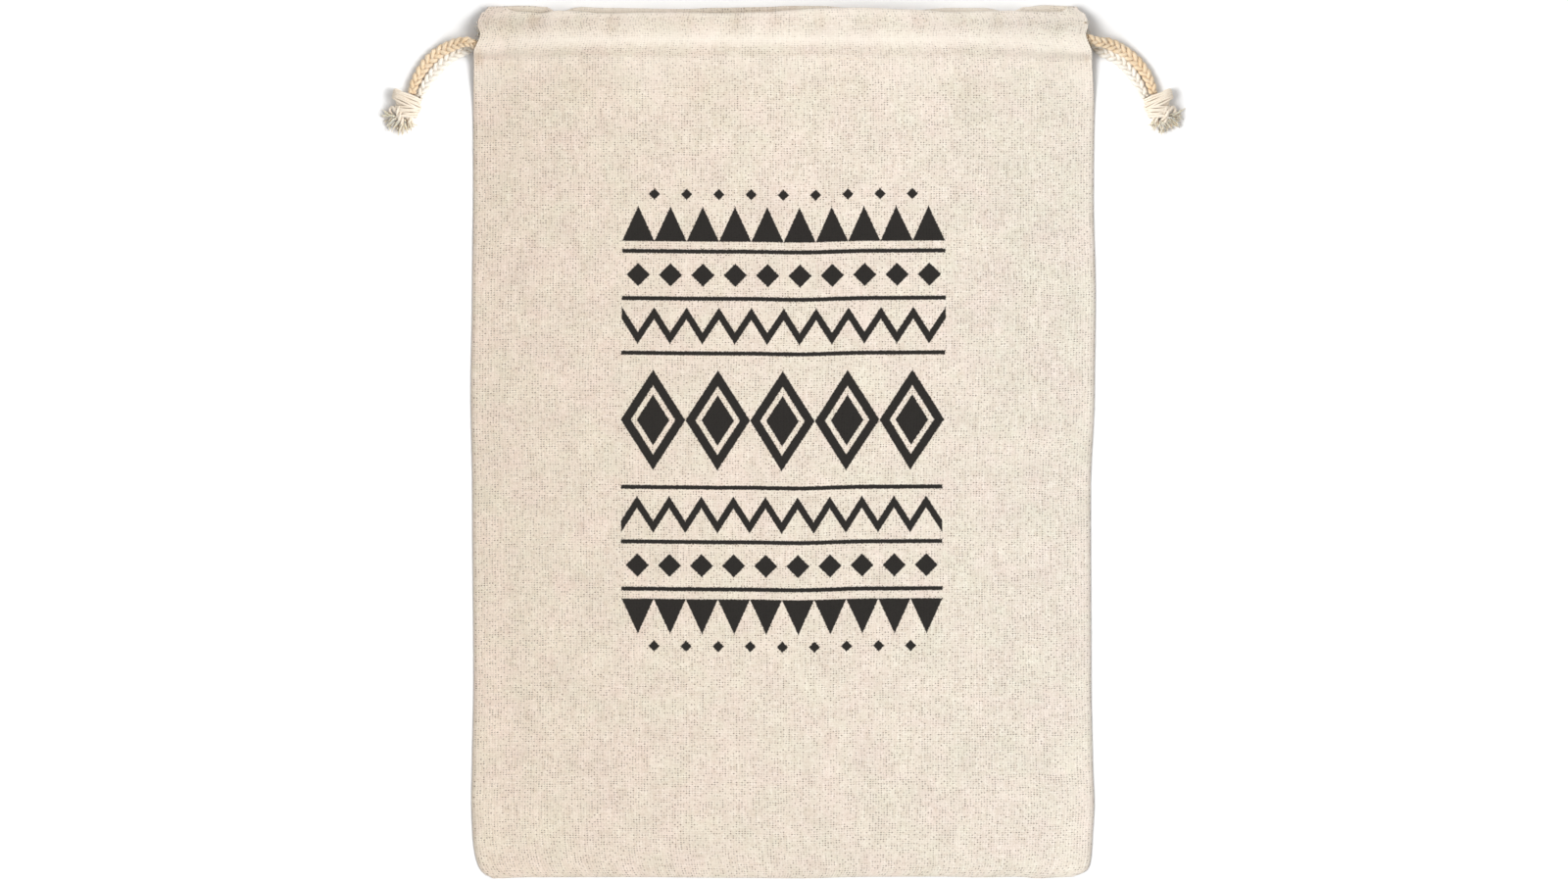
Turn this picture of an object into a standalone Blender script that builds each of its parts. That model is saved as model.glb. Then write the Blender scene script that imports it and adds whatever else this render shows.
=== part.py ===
"""Linen bread bag, empty and flat on its back, with a knotted drawstring at each side.

The bag lies on z = 0 with its mouth towards +Y, its front up and its bounding box centred on the Z axis.
Sizes are in millimetres and become metres where a mesh or a curve is made.
"""
import math

import bmesh
import bpy
from mathutils import Vector

MM = 0.001

# The bag over all, and its cloth
BAG_LENGTH = 422.1
CLOTH = 1.0
GAP = 0.3
EDGE_ROUND = 0.3
SEAM_ROLL = 0.6

# The drawstring casing: a hem turned in along the mouth and stitched down
STITCH_UP = 395.8
HEM_EDGE_UP = 393.3
CASING_DEPTH = 22.8
CORD_ZONE = 16.0
TUNNEL = 4.9
HEM_SETBACK = 139.5
MOUTH_GAP = 5.0
RIDGE_TOP = CLOTH + TUNNEL + CLOTH

# How the front arches over the back between the side seams
ARCH_HALF = 146.0
ARCH_POWER = 3.0

# The cords: two lanes side by side in each casing, and how far the lanes dip at each end
CORD = 4.4
CORD_CLEAR = 0.25
CORD_SIDES_RESOLUTION = 2
LANE_LOW = 8.1
LANE_HIGH = 12.8
DIP_LEFT = -1.5
DIP_RIGHT = -2.5
DIP_REACH = 60.0
TURN_X = 140.2
RUN_STEP = 24.0

# Half outlines: height up from the bottom edge, then the left and the right edge
SIDE_EDGES = (
    (0.0, -141.0, 141.0),
    (2.6, -146.2, 148.2),
    (7.3, -148.6, 149.4),
    (16.8, -150.2, 149.9),
    (35.8, -150.9, 151.0),
    (54.7, -150.5, 150.1),
    (92.7, -149.8, 149.4),
    (187.5, -150.4, 149.1),
    (234.9, -151.2, 151.0),
    (282.3, -150.5, 151.5),
    (329.7, -150.0, 150.5),
    (377.1, -150.1, 150.9),
    (399.5, -150.0, 150.0),
    (403.9, -148.1, 148.2),
    (407.6, -146.2, 146.4),
    (410.0, -147.4, 147.6),
    (413.2, -149.2, 149.2),
    (417.0, -146.9, 147.0),
    (420.5, -144.8, 144.6),
    (422.1, -138.0, 138.0),
)

# The mouth's two edges: place across, then how far the back lip and the front fold lie below the highest point
MOUTH_EDGES = (
    (-151.0, 0.8, 1.0),
    (-140.0, 0.5, 0.6),
    (-128.0, 0.3, 3.1),
    (-116.0, 0.8, 4.1),
    (-109.0, 3.2, 2.7),
    (-99.0, 0.8, 3.1),
    (-88.0, 1.2, 4.1),
    (-48.0, 1.7, 3.6),
    (-31.0, 1.2, 4.1),
    (-8.0, 0.8, 3.6),
    (3.0, 0.3, 2.7),
    (20.0, 0.3, 1.7),
    (38.0, 1.8, 1.4),
    (60.0, 2.6, 2.2),
    (82.0, 1.2, 3.6),
    (98.0, 1.2, 3.1),
    (110.0, 3.2, 2.7),
    (119.0, 0.8, 3.1),
    (134.0, 0.0, 3.3),
    (142.0, 0.4, 0.6),
    (151.0, 0.8, 1.0),
)

# The bottom edge: place across, and its rise above the lowest point
BOTTOM_EDGE = (
    (-140.0, 0.0),
    (-122.0, 0.5),
    (-75.0, 0.6),
    (-18.0, 0.2),
    (8.0, 0.0),
    (40.0, 0.7),
    (76.0, 0.8),
    (96.0, 0.5),
    (114.0, 0.7),
    (124.0, 0.0),
    (134.0, 0.5),
    (146.0, 0.9),
)
BOTTOM_FADE = 20.0

# The front's loft along the bag: height up from the bottom edge, and the loft above the seams
BODY_LOFT = (
    (0.0, 0.0),
    (7.3, 0.8),
    (22.0, 2.6),
    (50.0, 5.2),
    (100.0, 7.0),
    (180.0, 7.8),
    (280.0, 8.2),
    (350.0, 8.8),
    (HEM_EDGE_UP, RIDGE_TOP + MOUTH_GAP - 2 * CLOTH - GAP),
)
SEAM_CLIMB = 20.0

# Soft folds in the front: place across, up, half width, half length, height
FRONT_FOLDS = (
    (6.0, 62.0, 16.0, 60.0, 0.9),
    (-18.0, 66.0, 14.0, 55.0, -0.6),
    (-74.0, 300.0, 24.0, 90.0, -0.8),
    (86.0, 250.0, 30.0, 120.0, 0.7),
    (-96.0, 70.0, 22.0, 60.0, -0.7),
    (-30.0, 215.0, 26.0, 70.0, 0.6),
    (58.0, 120.0, 24.0, 60.0, -0.5),
)

# Stations of the cloth: rows up the body, then rows of the casing (up from the stitching, tunnel height)
BODY_ROWS = (0.0, 2.6, 7.3, 16.8, 35.8, 54.7, 92.7, 140.0, 187.5, 234.9, 282.3, 329.7, 365.0, 385.0)
HEM_STEP = 0.7
CASING_ROWS = (
    (1.2, 0.3),
    (3.2, 1.8),
    (5.2, 4.25),
    (7.2, TUNNEL),
    (10.4, TUNNEL),
    (13.6, TUNNEL),
    (15.4, 4.1),
    (17.6, 1.9),
    (20.6, 0.5),
)
SETBACK_SHARE = (0.8, 1.0, 1.0, 1.0, 1.0, 1.0, 1.0, 0.8, 0.4)
LANE_SHARE = (0.1, 0.6, 1.0, 1.0, 1.0, 1.0, 1.0, 0.6, 0.1)

# Columns of the cloth: insets from each side edge, then even spacing between the innermost ones
EDGE_INSETS = (0.0, 1.5, 5.0, 12.0, 24.0)
INNER_COLUMNS = 20

# Free ends of a cord, from the casing out to its knot: across (for the left side), y, z
FREE_FRONT = (
    (-152.5, 193.2, 9.1),
    (-158.0, 192.3, 5.9),
    (-163.8, 189.6, 3.4),
    (-169.8, 185.2, 2.55),
    (-175.0, 179.0, 2.55),
    (-178.2, 172.6, 2.9),
    (-179.2, 168.4, 3.6),
)
FREE_BACK = (
    (-154.2, 188.7, 3.0),
    (-161.0, 185.1, 2.55),
    (-166.8, 179.8, 2.55),
    (-172.2, 172.6, 2.7),
    (-175.4, 166.4, 3.6),
)

# The overhand knot: its centre, and the wraps along its axis
KNOT_CENTRE = (-181.8, 162.6, 4.95)
KNOT_AXIS = (-0.25, -0.97)
KNOT_STRAND = 1.75
KNOT_VOXEL = 0.95
KNOT_CORE = (5.6, 5.4, 3.0)
# Wraps: offset along the axis, half width, half height, slant in degrees, shift across
KNOT_WRAPS = (
    (-4.1, 5.9, 2.75, -7.0, 0.8),
    (-1.4, 6.2, 2.9, -10.0, 0.4),
    (1.7, 5.0, 2.8, 12.0, -0.6),
    (4.3, 3.9, 2.4, 16.0, -1.2),
)
WRAP_STEPS = 20
WRAP_SIDES = 8

# Frayed tails: direction in degrees from the knot's axis, reach, root across, tip height
TAIL_STRANDS = (
    (-62.0, 9.6, -3.4, 1.2),
    (-54.0, 11.0, -3.0, 2.6),
    (-47.0, 11.8, -2.6, 1.0),
    (-38.0, 12.4, -2.0, 2.2),
    (-29.0, 11.0, -1.5, 1.1),
    (-20.0, 13.2, -1.0, 2.0),
    (-12.0, 14.4, -0.6, 1.0),
    (-4.0, 13.0, 0.0, 2.3),
    (5.0, 14.8, 0.4, 1.1),
    (14.0, 12.6, 0.9, 1.9),
    (24.0, 13.0, 1.5, 1.0),
    (34.0, 10.8, 2.0, 1.8),
)
TAIL_ROOT_UP = 2.6
TAIL_ROOT_Z = 3.6
TAIL_THICK = 0.55

# Colours of the cloth and the cotton cord
LINEN = "ECE0D1"
LINEN_BACK = "E4D5C2"
COTTON = "E3D4BE"
COTTON_RIGHT = "E6D8C3"
KNOT_COTTON = "E0D1BD"


def interpolate(rows, at, column):
    """Value of a table's column at a place between its rows, eased so that it has no kinks."""
    if at <= rows[0][0]:
        return rows[0][column]
    for low, high in zip(rows, rows[1:]):
        if at <= high[0]:
            part = (at - low[0]) / (high[0] - low[0])
            part = part * part * (3.0 - 2.0 * part)
            return low[column] + (high[column] - low[column]) * part
    return rows[-1][column]


def linear_colour(code):
    """An sRGB hex colour as the linear values that a shader takes."""
    values = []
    for start in (0, 2, 4):
        part = int(code[start:start + 2], 16) / 255.0
        values.append(part / 12.92 if part <= 0.04045 else ((part + 0.055) / 1.055) ** 2.4)
    return (*values, 1.0)


def material(name, code, roughness):
    made = bpy.data.materials.new(name)
    made.use_nodes = True
    shader = made.node_tree.nodes["Principled BSDF"]
    shader.inputs["Base Color"].default_value = linear_colour(code)
    shader.inputs["Roughness"].default_value = roughness
    shader.inputs["Metallic"].default_value = 0.0
    return made


def arch(x):
    """Share of the full loft at a place across the bag: 1 in the middle, 0 at the side seams."""
    return 1.0 - min(1.0, abs(x) / ARCH_HALF) ** ARCH_POWER


def lane_dip(x):
    """The cords run level and dip towards the bag's bottom near the ends of the casing."""
    edge = ARCH_HALF - DIP_REACH
    part = max(0.0, abs(x) - edge) / DIP_REACH
    return (DIP_LEFT if x < 0.0 else DIP_RIGHT) * min(1.0, part) ** 2


def lean(slope):
    """Upright thickness of a layer of cloth that lies at a slope."""
    return CLOTH * math.sqrt(1.0 + slope * slope)


def casing_slope(row):
    """Slope of the casing's roof at one of its rows."""
    places = ((0.0, 0.0), *CASING_ROWS, (CASING_DEPTH, 0.0))
    before = places[row]
    after = places[row + 2]
    return (after[1] - before[1]) / (after[0] - before[0])


def back_casing_top(above, x, slope):
    """Top of the back casing at a height above the stitching, where the front casing nests over it."""
    depth = BAG_LENGTH - interpolate(MOUTH_EDGES, x, 1) - STITCH_UP
    if above > CORD_ZONE:
        above = CORD_ZONE + (above - CORD_ZONE) * (CASING_DEPTH - CORD_ZONE) / (depth - CORD_ZONE)
    tunnel = CASING_ROWS[-1][1]
    for low, high in zip(((0.0, 0.0), *CASING_ROWS), CASING_ROWS):
        if low[0] <= above <= high[0]:
            tunnel = low[1] + (high[1] - low[1]) * (above - low[0]) / (high[0] - low[0])
    return CLOTH + tunnel + lean(slope)


def body_heights(x, up, inset):
    """Underside of the single layer of the front's body."""
    share = arch(x)
    climb = max(0.0, min(1.0, (up - (HEM_EDGE_UP - SEAM_CLIMB)) / SEAM_CLIMB))
    climb = climb * climb * (3.0 - 2.0 * climb)
    height = CLOTH + GAP + 2.0 * CLOTH * climb + interpolate(BODY_LOFT, up, 1) * share
    height += SEAM_ROLL * (1.0 - math.exp(-inset / 2.5)) * min(1.0, up / 7.3) * (1.0 - climb)
    loose = share * min(1.0, up / BOTTOM_FADE) * (1.0 - climb)
    for middle, along, half_width, half_length, rise in FRONT_FOLDS:
        place = ((x - middle) / half_width) ** 2 + ((up - along) / half_length) ** 2
        height += rise * math.exp(-place) * loose
    return height


def across(up, column, setback):
    """Place across the bag, and the inset from the nearer edge, of a column at a height up the bag."""
    left = interpolate(SIDE_EDGES, up, 1)
    right = interpolate(SIDE_EDGES, up, 2)
    left += (-HEM_SETBACK - left) * setback
    right += (HEM_SETBACK - right) * setback
    edges = len(EDGE_INSETS)
    last = 2 * edges + INNER_COLUMNS - 1
    if column < edges:
        return left + EDGE_INSETS[column], EDGE_INSETS[column]
    if column > last - edges:
        return right - EDGE_INSETS[last - column], EDGE_INSETS[last - column]
    start = left + EDGE_INSETS[-1]
    end = right - EDGE_INSETS[-1]
    part = (column - edges + 1) / (INNER_COLUMNS + 1)
    return start + (end - start) * part, EDGE_INSETS[-1]


def up_in_casing(row, x, edge_column):
    """Height up the bag of a casing row: it follows the cords' dip, and past them it stretches to the mouth's edge."""
    above = CASING_ROWS[row][0] if row < len(CASING_ROWS) else CASING_DEPTH
    depth = BAG_LENGTH - interpolate(MOUTH_EDGES, x, edge_column) - STITCH_UP
    if above > CORD_ZONE:
        above = CORD_ZONE + (above - CORD_ZONE) * (depth - CORD_ZONE) / (CASING_DEPTH - CORD_ZONE)
    if row < len(CASING_ROWS):
        above += lane_dip(x) * LANE_SHARE[row]
    return STITCH_UP + above


def point(x, up, z):
    """A place on the bag, in metres, from across, up and height in millimetres."""
    rise = interpolate(BOTTOM_EDGE, x, 1) * max(0.0, 1.0 - up / BOTTOM_FADE)
    return Vector((x, up + rise - BAG_LENGTH / 2.0, z)) * MM


def panel_section(column, is_front):
    """One column of a panel: its outer boundary from the bottom edge round the fold and back, and its tunnel."""
    edge_column = 2 if is_front else 1
    upper = []
    lower = []
    for up in (*BODY_ROWS, HEM_EDGE_UP - HEM_STEP, HEM_EDGE_UP, STITCH_UP):
        x, inset = across(up, column, 0.0)
        layers = 2 if up >= HEM_EDGE_UP else 1
        trim = EDGE_ROUND if inset == 0.0 else 0.0
        if is_front:
            top = body_heights(x, min(up, HEM_EDGE_UP - HEM_STEP), inset) + CLOTH
            upper.append(point(x, up, top - trim))
            lower.append(point(x, up, top - layers * CLOTH))
        else:
            upper.append(point(x, up, layers * CLOTH))
            lower.append(point(x, up, trim))
    tunnel_high = []
    tunnel_low = []
    for row, (above, tunnel) in enumerate(CASING_ROWS):
        guess, inset = across(STITCH_UP + above, column, 0.0)
        up = up_in_casing(row, guess, edge_column)
        x, inset = across(up, column, 0.0)
        x_hem, inset = across(up, column, SETBACK_SHARE[row])
        slope = casing_slope(row)
        if is_front:
            share = arch(x)
            nested = back_casing_top(up - STITCH_UP - lane_dip(x) * LANE_SHARE[row], x, slope) + GAP * lean(slope)
            under = (1.0 - share) * nested + share * (RIDGE_TOP + MOUTH_GAP)
            low = under + lean(slope * (1.0 - share))
            high = low + tunnel
            top = high + lean(slope * (2.0 - share))
            upper.append(point(x, up, top))
            tunnel_high.append(point(x, up, high))
            tunnel_low.append(point(x_hem, up, low))
            lower.append(point(x_hem, up, under))
        else:
            upper.append(point(x_hem, up, CLOTH + tunnel + lean(slope)))
            tunnel_high.append(point(x_hem, up, CLOTH + tunnel))
            tunnel_low.append(point(x, up, CLOTH))
            lower.append(point(x, up, 0.0))
    guess, inset = across(STITCH_UP + CASING_DEPTH, column, 0.0)
    up = up_in_casing(len(CASING_ROWS), guess, edge_column)
    x, inset = across(up, column, 0.0)
    base = lower[-1].z / MM
    thick = upper[-1].z / MM - base
    fold = [point(x, up, base + 0.68 * thick), point(x, up, base + 0.32 * thick)]
    return upper + fold + lower[::-1], tunnel_high + tunnel_low[::-1]


def panel(name, is_front, finish):
    """A panel of the bag: a sheet of cloth whose top edge is turned into an open-ended tunnel."""
    mesh = bmesh.new()
    columns = 2 * len(EDGE_INSETS) + INNER_COLUMNS
    boundary = []
    tunnel = []
    for column in range(columns):
        outside, inside = panel_section(column, is_front)
        boundary.append([mesh.verts.new(place) for place in outside])
        tunnel.append([mesh.verts.new(place) for place in inside])
    for rings in (boundary, tunnel):
        for left, right in zip(rings, rings[1:]):
            for here in range(len(left)):
                after = (here + 1) % len(left)
                mesh.faces.new((left[here], left[after], right[after], right[here]))
    body = len(BODY_ROWS) + 3
    rows = len(CASING_ROWS)
    for ring, hole in ((boundary[0], tunnel[0]), (boundary[-1], tunnel[-1])):
        last = len(ring) - 1
        for row in range(body - 1):
            mesh.faces.new((ring[row], ring[row + 1], ring[last - row - 1], ring[last - row]))
        mesh.faces.new((ring[body - 1], ring[body], hole[0], hole[-1], ring[last - body], ring[last - body + 1]))
        for row in range(rows - 1):
            mesh.faces.new((ring[body + row], ring[body + row + 1], hole[row + 1], hole[row]))
            mesh.faces.new((ring[last - body - row], ring[last - body - row - 1],
                            hole[2 * rows - 2 - row], hole[2 * rows - 1 - row]))
        top = body + rows - 1
        mesh.faces.new((ring[top], ring[top + 1], ring[top + 2], ring[top + 3], hole[rows], hole[rows - 1]))
    bmesh.ops.triangulate(mesh, faces=mesh.faces)
    bmesh.ops.recalc_face_normals(mesh, faces=mesh.faces)
    data = bpy.data.meshes.new(name)
    mesh.to_mesh(data)
    mesh.free()
    data.shade_smooth()
    data.set_sharp_from_angle(angle=math.radians(50.0))
    data.materials.append(finish)
    made = bpy.data.objects.new(name, data)
    bpy.context.scene.collection.objects.link(made)
    return made


def smooth_route(points, steps):
    """Places on a Catmull-Rom curve through a route's points, each span read in a number of steps."""
    places = [points[0] + (points[0] - points[1]), *points, points[-1] + (points[-1] - points[-2])]
    route = []
    for span, count in enumerate(steps):
        p0, p1, p2, p3 = places[span:span + 4]
        for step in range(count):
            t = step / count
            route.append(0.5 * (2.0 * p1 + (p2 - p0) * t + (2.0 * p0 - 5.0 * p1 + 4.0 * p2 - p3) * t * t
                                + (3.0 * p1 - p0 - 3.0 * p2 + p3) * t * t * t))
    route.append(points[-1])
    return route


def lane_point(x, lane, is_front):
    """Centre of a cord in its lane of the front or the back casing."""
    up = STITCH_UP + lane + lane_dip(x)
    height = CLOTH + CORD_CLEAR + CORD / 2.0
    if is_front:
        share = arch(x)
        height += (1.0 - share) * (RIDGE_TOP + GAP) + share * (RIDGE_TOP + MOUTH_GAP)
    return Vector((x, up - BAG_LENGTH / 2.0, height))


def drawstring(name, side, lane, finish):
    """A cord from one knot through the front casing, round the far end and back through the back casing."""
    count = int(2.0 * TURN_X / RUN_STEP)
    stops = [side * (TURN_X - 2.0 * TURN_X * step / count) for step in range(count + 1)]
    route = [Vector((-side * x, y, z)) for x, y, z in reversed(FREE_FRONT)]
    route.append(lane_point(side * (TURN_X + 7.0), lane, True))
    route += [lane_point(x, lane, True) for x in stops]
    high = route[-1]
    low = lane_point(-side * TURN_X, lane, False)
    radius = (high.z - low.z) / 2.0
    for angle in (45.0, 90.0, 135.0):
        turn = math.radians(angle)
        route.append(Vector((high.x - side * radius * math.sin(turn), high.y, low.z + radius * (1.0 + math.cos(turn)))))
    route += [lane_point(x, lane, False) for x in reversed(stops)]
    route.append(lane_point(side * (TURN_X + 7.0), lane, False))
    route += [Vector((-side * x, y, z)) for x, y, z in FREE_BACK]
    places = smooth_route(route, [1] * (len(route) - 1))
    curve = bpy.data.curves.new(name, "CURVE")
    curve.dimensions = "3D"
    spline = curve.splines.new("POLY")
    spline.points.add(len(places) - 1)
    for knot, place in zip(spline.points, places):
        knot.co = (*(place * MM), 1.0)
    curve.bevel_depth = CORD / 2.0 * MM
    curve.bevel_resolution = CORD_SIDES_RESOLUTION
    curve.render_resolution_u = 0
    curve.use_fill_caps = True
    curve.materials.append(finish)
    made = bpy.data.objects.new(name, curve)
    bpy.context.scene.collection.objects.link(made)
    return made


def tube_ring(mesh, centre, across_way, half_width, half_height, thickness):
    """A closed wrap of cord: a tube along an upright ellipse."""
    along = across_way.cross(Vector((0.0, 0.0, 1.0)))
    rings = []
    for step in range(WRAP_STEPS):
        angle = 2.0 * math.pi * step / WRAP_STEPS
        flat = across_way * math.cos(angle)
        rise = Vector((0.0, 0.0, math.sin(angle)))
        middle = centre + flat * half_width + rise * half_height
        outward = (flat * half_height + rise * half_width).normalized()
        ring = []
        for side in range(WRAP_SIDES):
            turn = 2.0 * math.pi * side / WRAP_SIDES
            ring.append(mesh.verts.new((middle + (outward * math.cos(turn) + along * math.sin(turn)) * thickness) * MM))
        rings.append(ring)
    for step, ring in enumerate(rings):
        after = rings[(step + 1) % WRAP_STEPS]
        for side in range(WRAP_SIDES):
            beside = (side + 1) % WRAP_SIDES
            mesh.faces.new((ring[side], ring[beside], after[beside], after[side]))


def add_tail(mesh, root, middle, tip, thickness):
    """One frayed strand: a four-sided taper from inside the knot to its tip near the floor."""
    rings = []
    for place, share in ((root, 1.0), (middle, 0.9), (tip, 0.5)):
        way = (tip - root).normalized()
        beside = way.cross(Vector((0.0, 0.0, 1.0))).normalized() * thickness * share
        above = Vector((0.0, 0.0, thickness * share))
        rings.append([mesh.verts.new((place + offset) * MM) for offset in (beside, above, -beside, -above)])
    for ring, after in zip(rings, rings[1:]):
        for side in range(4):
            beside = (side + 1) % 4
            mesh.faces.new((ring[side], ring[beside], after[beside], after[side]))
    mesh.faces.new(rings[0][::-1])
    mesh.faces.new(rings[-1])


def mesh_object(name, mesh):
    """An object of a finished bmesh, with its faces pointing outwards."""
    bmesh.ops.recalc_face_normals(mesh, faces=mesh.faces)
    data = bpy.data.meshes.new(name)
    mesh.to_mesh(data)
    mesh.free()
    made = bpy.data.objects.new(name, data)
    bpy.context.scene.collection.objects.link(made)
    return made


def knot(name, side, finish):
    """An overhand knot of both ends of a cord: four slanted wraps round a core, and frayed tails."""
    centre = Vector((-side * KNOT_CENTRE[0], KNOT_CENTRE[1], KNOT_CENTRE[2]))
    axis = Vector((-side * KNOT_AXIS[0], KNOT_AXIS[1], 0.0)).normalized()
    across_way = Vector((0.0, 0.0, 1.0)).cross(axis) * side
    mesh = bmesh.new()
    for offset, half_width, half_height, slant, shift in KNOT_WRAPS:
        turn = math.radians(slant)
        way = across_way * math.cos(turn) + axis * math.sin(turn)
        place = centre + axis * offset + across_way * shift
        tube_ring(mesh, place, way, half_width, half_height, KNOT_STRAND)
    core = bmesh.ops.create_icosphere(mesh, subdivisions=2, radius=1.0)["verts"]
    for vert in core:
        local = vert.co.copy()
        vert.co = (centre + across_way * local.x * KNOT_CORE[0] + axis * local.y * KNOT_CORE[1]
                   + Vector((0.0, 0.0, local.z * KNOT_CORE[2]))) * MM
    head = mesh_object(name, mesh)
    remesh = head.modifiers.new("Fused wraps", "REMESH")
    remesh.mode = "VOXEL"
    remesh.voxel_size = KNOT_VOXEL * MM
    strands = bmesh.new()
    for degrees, reach, root_across, tip_height in TAIL_STRANDS:
        turn = math.radians(degrees)
        way = axis * math.cos(turn) + across_way * math.sin(turn)
        root = centre + axis * TAIL_ROOT_UP + across_way * root_across
        root.z = TAIL_ROOT_Z
        tip = root + way * reach
        tip.z = tip_height
        middle = root + way * reach * 0.55
        middle.z = 0.4 * TAIL_ROOT_Z + 0.6 * tip_height
        add_tail(strands, root, middle, tip, TAIL_THICK)
    tails = mesh_object(name + "_tails", strands)
    tails.hide_render = True
    tails.display_type = "WIRE"
    join = head.modifiers.new("Frayed tails", "BOOLEAN")
    join.operation = "UNION"
    join.solver = "EXACT"
    join.use_self = True
    join.object = tails
    head.data.materials.append(finish)
    return head


def main():
    for old in list(bpy.data.objects):
        bpy.data.objects.remove(old, do_unlink=True)
    panel("back_panel", False, material("linen_back", LINEN_BACK, 0.92))
    panel("front_panel", True, material("linen_front", LINEN, 0.9))
    drawstring("drawstring_left", -1.0, LANE_LOW, material("cotton_cord_left", COTTON, 0.88))
    drawstring("drawstring_right", 1.0, LANE_HIGH, material("cotton_cord_right", COTTON_RIGHT, 0.88))
    knot("knot_left", -1.0, material("cotton_knot_left", KNOT_COTTON, 0.9))
    knot("knot_right", 1.0, material("cotton_knot_right", KNOT_COTTON, 0.9))


main()
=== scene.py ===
"""Looks of a linen bread bag that lies flat and empty, with a knotted cotton drawstring at each side.

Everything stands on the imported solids: lengths below are millimetres in the part's own frame, with the mouth
towards +Y and the printed front up, and become metres where a mesh is made.
"""

import math
from functools import partial

import bpy
import numpy as np
from mathutils import Matrix, Vector


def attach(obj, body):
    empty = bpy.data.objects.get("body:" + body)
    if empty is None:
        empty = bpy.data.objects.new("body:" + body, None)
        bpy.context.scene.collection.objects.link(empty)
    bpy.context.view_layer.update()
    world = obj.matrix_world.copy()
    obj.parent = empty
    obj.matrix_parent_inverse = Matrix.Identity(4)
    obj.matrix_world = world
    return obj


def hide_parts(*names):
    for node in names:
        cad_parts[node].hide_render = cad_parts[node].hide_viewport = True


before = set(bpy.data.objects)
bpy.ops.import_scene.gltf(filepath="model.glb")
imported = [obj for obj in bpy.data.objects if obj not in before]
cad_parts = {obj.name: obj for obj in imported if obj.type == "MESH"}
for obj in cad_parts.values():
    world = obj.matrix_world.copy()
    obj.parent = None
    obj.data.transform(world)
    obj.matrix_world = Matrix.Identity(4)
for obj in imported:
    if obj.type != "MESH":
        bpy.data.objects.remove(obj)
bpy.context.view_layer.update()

MM = 0.001

# The bag and its cloth, as cut and sewn: the values of the part's source, and the linen's own thickness
BAG_LENGTH = 422.1
CLOTH = 1.0
GAP = 0.3
LINEN_THICK = 0.62
STITCH_UP = 395.8
HEM_EDGE_UP = 393.3
HEM_STEP = 0.7
CASING_DEPTH = 22.8
CORD_ZONE = 16.0
TUNNEL = 4.9
HEM_SETBACK = 139.5
MOUTH_GAP = 5.0
RIDGE_TOP = CLOTH + TUNNEL + CLOTH
ARCH_HALF = 146.0
ARCH_POWER = 3.0
SEAM_ROLL = 0.6
SEAM_CLIMB = 20.0
BOTTOM_FADE = 20.0

# The cords in the casings: their thickness, lanes up from the stitching, dips at the ends and turning places
CORD = 4.4
CORD_CLEAR = 0.25
LANE_LOW = 8.1
LANE_HIGH = 12.8
DIP_LEFT = -1.5
DIP_RIGHT = -2.5
DIP_REACH = 60.0
TURN_X = 140.2
RUN_STEP = 24.0

# Half outlines: height up from the bottom edge, then the left and the right edge
SIDE_EDGES = (
    (0.0, -141.0, 141.0), (2.6, -146.2, 148.2), (7.3, -148.6, 149.4), (16.8, -150.2, 149.9),
    (35.8, -150.9, 151.0), (54.7, -150.5, 150.1), (92.7, -149.8, 149.4), (187.5, -150.4, 149.1),
    (234.9, -151.2, 151.0), (282.3, -150.5, 151.5), (329.7, -150.0, 150.5), (377.1, -150.1, 150.9),
    (399.5, -150.0, 150.0), (403.9, -148.1, 148.2), (407.6, -146.2, 146.4), (410.0, -147.4, 147.6),
    (413.2, -149.2, 149.2), (417.0, -146.9, 147.0), (420.5, -144.8, 144.6), (422.1, -138.0, 138.0),
)

# The mouth's two edges: place across, and how far the back lip and the front fold lie below the highest point
MOUTH_EDGES = (
    (-151.0, 0.8, 1.0), (-140.0, 0.5, 0.6), (-128.0, 0.3, 3.1), (-116.0, 0.8, 4.1), (-109.0, 3.2, 2.7),
    (-99.0, 0.8, 3.1), (-88.0, 1.2, 4.1), (-48.0, 1.7, 3.6), (-31.0, 1.2, 4.1), (-8.0, 0.8, 3.6),
    (3.0, 0.3, 2.7), (20.0, 0.3, 1.7), (38.0, 1.8, 1.4), (60.0, 2.6, 2.2), (82.0, 1.2, 3.6),
    (98.0, 1.2, 3.1), (110.0, 3.2, 2.7), (119.0, 0.8, 3.1), (134.0, 0.0, 3.3), (142.0, 0.4, 0.6),
    (151.0, 0.8, 1.0),
)

# The bottom edge: place across, and its rise above the lowest point
BOTTOM_EDGE = (
    (-140.0, 0.0), (-122.0, 0.5), (-75.0, 0.6), (-18.0, 0.2), (8.0, 0.0), (40.0, 0.7), (76.0, 0.8),
    (96.0, 0.5), (114.0, 0.7), (124.0, 0.0), (134.0, 0.5), (146.0, 0.9),
)

# The front's loft along the bag: height up from the bottom edge, and the loft above the seams
BODY_LOFT = (
    (0.0, 0.0), (7.3, 0.8), (22.0, 2.6), (50.0, 5.2), (100.0, 7.0), (180.0, 7.8), (280.0, 8.2), (350.0, 8.8),
    (HEM_EDGE_UP, RIDGE_TOP + MOUTH_GAP - 2 * CLOTH - GAP),
)

# Soft folds in the front: place across, up, half width, half length, height
FRONT_FOLDS = (
    (6.0, 62.0, 16.0, 60.0, 0.9),
    (-18.0, 66.0, 14.0, 55.0, -0.6),
    (-74.0, 300.0, 24.0, 90.0, -0.8),
    (86.0, 250.0, 30.0, 120.0, 0.7),
    (-96.0, 70.0, 22.0, 60.0, -0.7),
    (-30.0, 215.0, 26.0, 70.0, 0.6),
    (58.0, 120.0, 24.0, 60.0, -0.5),
)

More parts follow.
